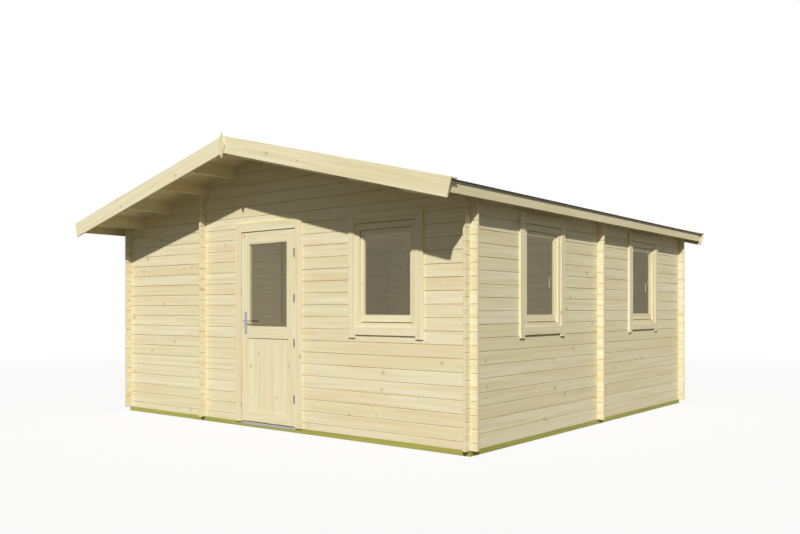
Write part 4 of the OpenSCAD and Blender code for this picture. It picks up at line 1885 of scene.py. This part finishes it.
@dataclass
class Door:
    """The door: frame, leaf, glass, panel, hinges, handle and threshold."""

    lines: Lines
    stile: float = 0.098
    rail: float = 0.105
    bead: float = 0.016
    bead_in: float = 0.006
    glass_out: float = 0.009
    casing: float = 0.090
    reveal: float = 0.009
    gap: float = 0.005
    proud: float = 0.020
    stop: float = 0.014
    stop_thick: float = 0.013
    lining: float = 0.030
    lining_short: float = 0.064
    bite: float = 0.008
    glass_bite: float = 0.0005
    arris: float = 0.003
    panel_joints: tuple[float, ...] = (0.054, 0.272, 0.528)
    panel_gap: float = 0.0004
    panel_ease: float = 0.004
    vee: float = 0.002
    plate: float = 0.006
    lip: float = 0.003
    rib_gap: float = 0.008
    rib: float = 0.0006
    hinge_radius: float = 0.006
    hinge_height: float = 0.080
    hinge_rises: tuple[float, ...] = (0.0, 0.552, 0.991, 1.437)
    hinge_split: float = 0.0005
    flap: Pair = (0.040, 0.0019)
    flap_ease: float = 0.0006
    flap_off: float = 0.0015
    flap_in: float = 0.022
    screws: Pair = (-0.1, 0.1)
    cylinder: float = -0.062

    def build(self) -> None:
        """Makes every piece of the door."""
        self.place = Place(np.array([0.0, self.lines.front, 0.0]))
        self.low, self.high = local_box("door_leaf", self.place)
        self.jambs()
        self.head()
        self.leaf()
        self.panel()
        self.threshold()
        self.hinges()
        self.plates()
        self.lever()

    def jambs(self) -> None:
        """Makes the two uprights of the door frame."""
        leaf_x, back = self.high[0], self.lines.log
        floor, top = self.lines.floor, self.high[2] - self.stop
        edge = leaf_x + self.gap
        inner, outer = leaf_x + self.reveal, leaf_x + self.reveal + self.casing
        for side in Side:
            node = f"door_jamb_{side.name.lower()}"
            low, high = local_box(node, self.place)
            lining_top, stop_y = high[2] - self.lining_short, high[1] - self.stop_thick
            made = Joinery(self.place)
            made.aside(side, edge, edge + self.lining, (0, low[2]), (back, lining_top), SHADED)
            made.aside(side, inner, outer, (-self.proud, low[2]), (0, high[2]), PALE)
            made.aside(side, edge, outer, (back, floor), high[1:])
            made.aside(side, edge, leaf_x - self.stop, (stop_y, floor), (high[1], top))
            made.piece(f"{side.name.lower()}_door_upright", Body.CABIN, (node,))

    def head(self) -> None:
        """Makes the top of the door frame."""
        high = local_box("door_head", self.place)[1]
        leaf_top, back = self.high[2], self.lines.log
        x, casing_x = self.high[0] + self.gap, self.high[0] + self.reveal
        foot, stop_y = leaf_top + self.gap, high[1] - self.stop_thick
        made = Joinery(self.place)
        made.across(x, (0, foot), (back, foot + self.lining))
        made.across(casing_x, (-self.proud, leaf_top + self.reveal), (0, high[2]), WARM)
        made.across(x, (back, foot), high[1:])
        made.across(x, (stop_y, leaf_top - self.stop), (high[1], foot))
        made.piece("door_frame_head", Body.CABIN, ("door_head",))

    def leaf(self) -> None:
        """Makes the leaf's stiles, rails and beads, and its glass."""
        low, high = self.low, self.high
        glass_low, glass_high = local_box("door_glass", self.place)
        panel_high = local_box("door_panel", self.place)[1]
        made = Joinery(self.place, self.arris)
        x = high[0] - self.stile
        for side in Side:
            made.aside(side, high[0], x, low[1:], high[1:], EVEN)
        bottom, top = low[2] + self.rail, high[2] - self.rail
        mid_low, mid_high = panel_high[2] - self.bite, glass_low[2] + self.bite - self.bead
        made.across(x, low[1:], (high[1], bottom), DEEP)
        made.across(x, (low[1], mid_low), (high[1], mid_high), PALE)
        made.across(x, (low[1], top), high[1:], WARM)
        glass_low[1] -= self.glass_out
        glass_high[1] -= self.glass_out
        for y0, y1 in ((low[1], glass_low[1]), (glass_high[1], high[1] - self.bead_in)):
            made.beads(x, self.bead, (y0, mid_high), (y1, top), PALE)
        made.piece("door_leaf_bars", Body.DOOR, ("door_leaf",))
        glass_low[[0, 2]] = [-x + self.glass_bite, mid_high + self.glass_bite]
        glass_high[[0, 2]] = [x - self.glass_bite, top - self.glass_bite]
        pane("door_pane", self.place, glass_low, glass_high, Body.DOOR, "door_glass")

    def panel(self) -> None:
        """Makes the lower panel from upright jointed boards."""
        low, high = local_box("door_panel", self.place)
        x = self.high[0] - self.stile
        edges = np.array([-x, *(np.array(self.panel_joints) - x), x])
        solids = Solids(self.place)
        y, thick = (low[1] + high[1]) / 2, high[1] - low[1]
        foot, top = low[2] + self.bite, high[2] - self.bite
        for left, right in zip(edges[:-1], edges[1:]):
            outline = vee_outline(right - left - self.panel_gap, thick, self.vee, True)
            at = (left + right) / 2
            solids.board(
                [at, y, foot], [at, y, top], -Y, outline, chamfer=self.panel_ease, tint=WARM
            )
        solids.piece("door_panel_boards", PINE, Body.DOOR, ("door_panel",))

    def threshold(self) -> None:
        """Makes the ribbed threshold plate with its lip.

        The section's top is a row of waves, which lie rib (1 + cos(2 pi y / rib_gap))
        below the plate's face.
        """
        low, high = local_box("door_threshold", self.place)
        sill, shy = self.lines.sill, 0.002
        y = np.linspace(low[1] + shy, high[1] - shy, 60)
        wave = self.rib * np.cos((y - low[1]) * 2 * math.pi / self.rib_gap)
        top = np.stack([y, sill + self.plate - self.rib - wave], 1)[::-1]
        edge = sill + self.plate - shy
        section = np.r_[
            [[low[1], sill], [-self.lip, sill], [-self.lip, low[2]], [0, low[2]]],
            [[0, sill], [high[1], sill], [high[1], edge]], top, [[low[1], edge]],
        ]
        solids = Solids(self.place)
        x = np.array([low[0], high[0]])
        rings = np.stack([np.c_[np.full(len(section), v), section] for v in x])
        solids.add(rings, rings)
        solids.piece("threshold_plate", ALUMINIUM, Body.CABIN, ("door_threshold",))

    def hinges(self) -> None:
        """Makes the knuckles, their flaps and the pins' domed ends."""
        pins_low = local_box("hinge_pins", self.place)[0]
        knuckles_low = local_box("hinge_knuckles", self.place)[0]
        x = self.high[0] + self.gap / 2
        y = pins_low[1] + self.hinge_radius
        half, r = self.hinge_height / 2, self.hinge_radius
        lower = [[0, r - 0.0015], [0.0012, r], [half - 0.0015, r], [half - 0.0003, r - 0.001]]
        upper = [[0.0002, r - 0.001], [0.0014, r], [half - 0.002, r], [half, r - 0.0022]]
        flap = bar_outline(*self.flap, self.flap_ease)
        fixed, moving = Solids(self.place), Solids(self.place)
        flap_y, split = y + self.flap_in, self.hinge_split
        for rise in self.hinge_rises:
            z = knuckles_low[2] + rise
            fixed.turned([x, y, z - half], Z, lower)
            moving.turned([x, y, z], Z, upper)
            outer, inner = x + self.flap_off, x - self.flap_off
            fixed.board([outer, flap_y, z - half], [outer, flap_y, z - split], X, flap)
            moving.board([inner, flap_y, z + split], [inner, flap_y, z + half], X, flap)
        fixed.piece("hinge_lower_halves", ZINC, Body.CABIN, ("hinge_pins",), smooth=True)
        moving.piece("hinge_upper_halves", ZINC, Body.DOOR, ("hinge_knuckles",), smooth=True)

    def plates(self) -> None:
        """Makes the two handle plates with screws and the lock's cylinder."""
        low, high = local_box("handle_plates", self.place)
        x, z = (low[0] + high[0]) / 2, (low[2] + high[2]) / 2
        half = np.array([(high[0] - low[0]) / 2, (high[2] - low[2]) / 2])
        head = [[-0.001, 0.004], [0.0002, 0.0038], [0.0008, 0.002]]
        core = [[-0.002, 0.0085], [0.0015, 0.0085], [0.0022, 0.0075]]
        shy = np.array([0, 0, 0.0015, 0.004])
        rounded = ring_outline(1.0, 48, 7.0)
        solids = Solids(self.place)
        for face, out, thick in (
            (self.low[1], -1, self.low[1] - low[1]),
            (self.high[1], 1, high[1] - self.high[1]),
        ):
            station = thick * np.array([0, 0.55, 0.85, 1])
            flat = rounded[None] * (half - shy[:, None])[:, None]
            level = np.broadcast_to(face + out * station[:, None], flat.shape[:2])
            rings = np.stack([x + flat[..., 0], level, z + flat[..., 1]], -1)
            solids.add(rings[:, ::-1] if out > 0 else rings, rings)
            for up in self.screws:
                solids.turned([x, face + out * thick, z + up], out * Y, head, 16)
            solids.turned([x, face + out * thick, z + self.cylinder], out * Y, core)
        solids.piece("handle_plate_pair", STEEL, Body.DOOR, ("handle_plates",), smooth=True)

    def lever(self) -> None:
        """Makes the two levers on their spindle.

        A lever's middle line p runs out along the neck and turns into the grip
        along a quarter circle.  An oval is carried along it: point j of ring i
        is p_i + deep_i c_j n_i + wide_i s_j Z, where n_i is square to the line
        and (c_j, s_j) is the oval.
        """
        low, high = local_box("door_lever", self.place)
        plates_low, plates_high = local_box("handle_plates", self.place)
        r, neck, bend, spindle, sunk = 0.007, 0.008, 0.016, 0.0038, 0.01
        x = low[0] + neck
        z = (low[2] + high[2]) / 2
        solids = Solids(self.place)
        length = self.high[1] - self.low[1] + 2 * sunk
        ends = [[0, spindle], [length, spindle]]
        solids.turned([x, self.low[1] - sunk, z], Y, ends, 12)
        for out, face, tip in ((-1, plates_low[1], low[1]), (1, plates_high[1], high[1])):
            grip = tip - out * (r + 0.0005)
            turn = np.linspace(0, math.pi / 2, 9)
            arc = np.c_[x + bend * (1 - np.cos(turn)), grip - out * bend * (1 - np.sin(turn))]
            stops = [x + 0.05, *(high[0] - np.array([0.012, 0.004, 0.0004]))]
            path = np.r_[
                [[x, face - out * 0.004], [x, grip - out * bend]],
                arc[1:],
                [[stop, grip] for stop in stops],
            ]
            tangent = np.gradient(path, axis=0)
            tangent /= np.linalg.norm(tangent, axis=1)[:, None]
            side = np.stack([-tangent[:, 1], tangent[:, 0]], 1)
            marks, widths = [0, 2, 10, 13], [neck, 0.0068, 0.0066, 0.0072]
            wide = np.interp(np.arange(len(path)), marks, widths)
            wide[-1] = 0.003
            deep = np.minimum(wide, r) * np.r_[np.ones(len(path) - 1), 0.8]
            ring = ring_outline(1.0, 20, 2.6)
            flat = path[:, None] + side[:, None] * (deep[:, None] * ring[:, 0])[..., None]
            up = z + wide[:, None] * ring[:, 1]
            rings = np.concatenate([flat, up[..., None]], -1)
            solids.add(rings[:, ::-1], rings)
        solids.piece("lever_pair", STEEL, Body.HANDLE, ("door_lever",), smooth=True)


# ----------------------------------------------------------------------- studio


@dataclass
class Studio:
    """Camera, sun, lamp inside, surroundings and floor."""

    lines: Lines
    stand: tuple[float, float, float] = (3.6553, -5.4987, 1.162)
    turn: float = 38.62
    lens: float = 36.09
    sensor: float = 36.0
    shift: float = 0.053
    sight: float = 200.0
    sun: tuple[float, float, float] = (0.463, -0.712, 0.529)
    sun_strength: float = 3.48
    sky: float = 0.255
    sky_colour: Colour = (0.93, 0.97, 1.0, 1.0)
    sun_angle: float = 1.2
    sun_colour: tuple[float, float, float] = (1.0, 0.985, 0.95)
    inside: float = 13.5
    inside_size: float = 0.9
    inside_at: tuple[float, float, float] = (-0.6, -0.4, 1.2)
    floor_pale: Colour = (0.9, 0.9, 0.9, 1.0)
    floor_dull: Colour = (0.12, 0.115, 0.10, 1.0)
    floor_glow: float = 0.8
    floor_reach: float = 60.0
    floor_fade: Pair = (7.0, 16.0)
    floor_drop: float = 0.001

    def build(self) -> None:
        """Sets everything up."""
        self.camera()
        self.lamps()
        self.world()
        self.floor()
        bpy.context.scene.view_settings.view_transform = "Standard"

    def camera(self) -> None:
        """Makes the camera, level, off the right front corner of the walls."""
        data = bpy.data.cameras.new("camera")
        data.lens, data.sensor_width, data.shift_y = self.lens, self.sensor, self.shift
        data.clip_end = self.sight
        made = bpy.data.objects.new("camera", data)
        corner = np.array([self.lines.wall, self.lines.front, self.lines.sill])
        made.location = corner + self.stand
        made.rotation_euler = (math.pi / 2, 0, math.radians(self.turn))
        bpy.context.scene.collection.objects.link(made)
        bpy.context.scene.camera = made

    def lamps(self) -> None:
        """Makes the sun, and a soft lamp inside that no reflection shows."""
        data = bpy.data.lights.new("sun", "SUN")
        data.energy, data.angle = self.sun_strength, math.radians(self.sun_angle)
        data.color = self.sun_colour
        made = bpy.data.objects.new("sun", data)
        made.rotation_mode = "QUATERNION"
        made.rotation_quaternion = Vector(self.sun).to_track_quat("Z", "Y")
        bpy.context.scene.collection.objects.link(made)
        data = bpy.data.lights.new("inside", "POINT")
        data.energy, data.shadow_soft_size = self.inside, self.inside_size
        made = bpy.data.objects.new("inside", data)
        made.location = np.array([0.0, self.lines.middle, self.lines.floor]) + self.inside_at
        made.visible_camera = made.visible_glossy = False
        bpy.context.scene.collection.objects.link(made)

    def world(self) -> None:
        """Makes the surroundings: soft light, and white wherever they are seen."""
        world = bpy.data.worlds.new("surroundings")
        bpy.context.scene.world = world
        world.use_nodes = True
        bench = Bench(world.node_tree)
        soft = bench.node(
            "ShaderNodeBackground", {}, {"Color": self.sky_colour, "Strength": self.sky}
        )
        white = bench.node("ShaderNodeBackground", {}, {"Color": WHITE})
        values = {0: seen_rays(bench), 1: soft.outputs[0], 2: white.outputs[0]}
        mixed = bench.node("ShaderNodeMixShader", {}, values)
        bench.node("ShaderNodeOutputWorld", {}, {"Surface": mixed.outputs[0]})

    def floor(self) -> None:
        """Makes the floor: pale where it is seen, dull to the light that it throws back.

        It fades into the surroundings far out.
        """
        mesh = bpy.data.meshes.new("studio_floor")
        corners = np.array([(-1, -1, 0), (1, -1, 0), (1, 1, 0), (-1, 1, 0)])
        mesh.from_pydata(corners * self.floor_reach, [], [(0, 1, 2, 3)])
        made = bpy.data.objects.new("studio_floor", mesh)
        made.location = (0, 0, -self.floor_drop)
        bpy.context.scene.collection.objects.link(made)
        material = bpy.data.materials.new("studio_floor")
        material.use_nodes = True
        bench = Bench(material.node_tree)
        where = bench.node("ShaderNodeTexCoord", {}, {}).outputs["Object"]
        x, y, _ = bench.parts(where)
        far = (x * x + y * y).root().ramp(*self.floor_fade)
        pale = bench.node("ShaderNodeBsdfDiffuse", {}, {"Color": self.floor_pale})
        dull = bench.node("ShaderNodeBsdfDiffuse", {}, {"Color": self.floor_dull})
        glow = bench.node("ShaderNodeEmission", {}, {"Color": WHITE})
        share = far * (1.0 - self.floor_glow) + self.floor_glow
        seen_floor = bench.node(
            "ShaderNodeMixShader", {}, {0: share, 1: pale.outputs[0], 2: glow.outputs[0]}
        )
        values = {0: seen_rays(bench), 1: dull.outputs[0], 2: seen_floor.outputs[0]}
        mixed = bench.node("ShaderNodeMixShader", {}, values)
        bench.node("ShaderNodeOutputMaterial", {}, {"Surface": mixed.outputs[0]})
        mesh.materials.append(material)
        made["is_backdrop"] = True


def seen_rays(bench: Bench) -> Tone:
    """1 for rays from the camera, a reflection or glass, else 0."""
    path = bench.node("ShaderNodeLightPath", {}, {})
    names = ("Is Camera Ray", "Is Glossy Ray", "Is Transmission Ray")
    camera, glossy, through = (Tone(bench, path.outputs[name]) for name in names)
    return (camera + glossy + through).maths("MINIMUM", 1.0)


def main() -> None:
    """Builds the cabin and its studio, one sub-assembly after another."""
    logging.basicConfig(level=logging.INFO, format="%(name)s: %(message)s")
    lines = Lines()
    LogWalls(lines).build()
    Roof(lines).build()
    Base(lines).build()
    Door(lines).build()
    front_low, front_high = box("front_window_sash")
    middle = (front_low[0] + front_high[0]) / 2
    Window("front_window", Place(np.array([middle, lines.front, 0.0]))).build()
    for number in (1, 2):
        low, high = box(f"side_window_{number}_sash")
        origin = np.array([lines.wall, (low[1] + high[1]) / 2, 0.0])
        Window(f"side_window_{number}", Place(origin, Y, -X)).build()
    Studio(lines).build()
    low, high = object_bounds()


if __name__ == "__main__":
    main()
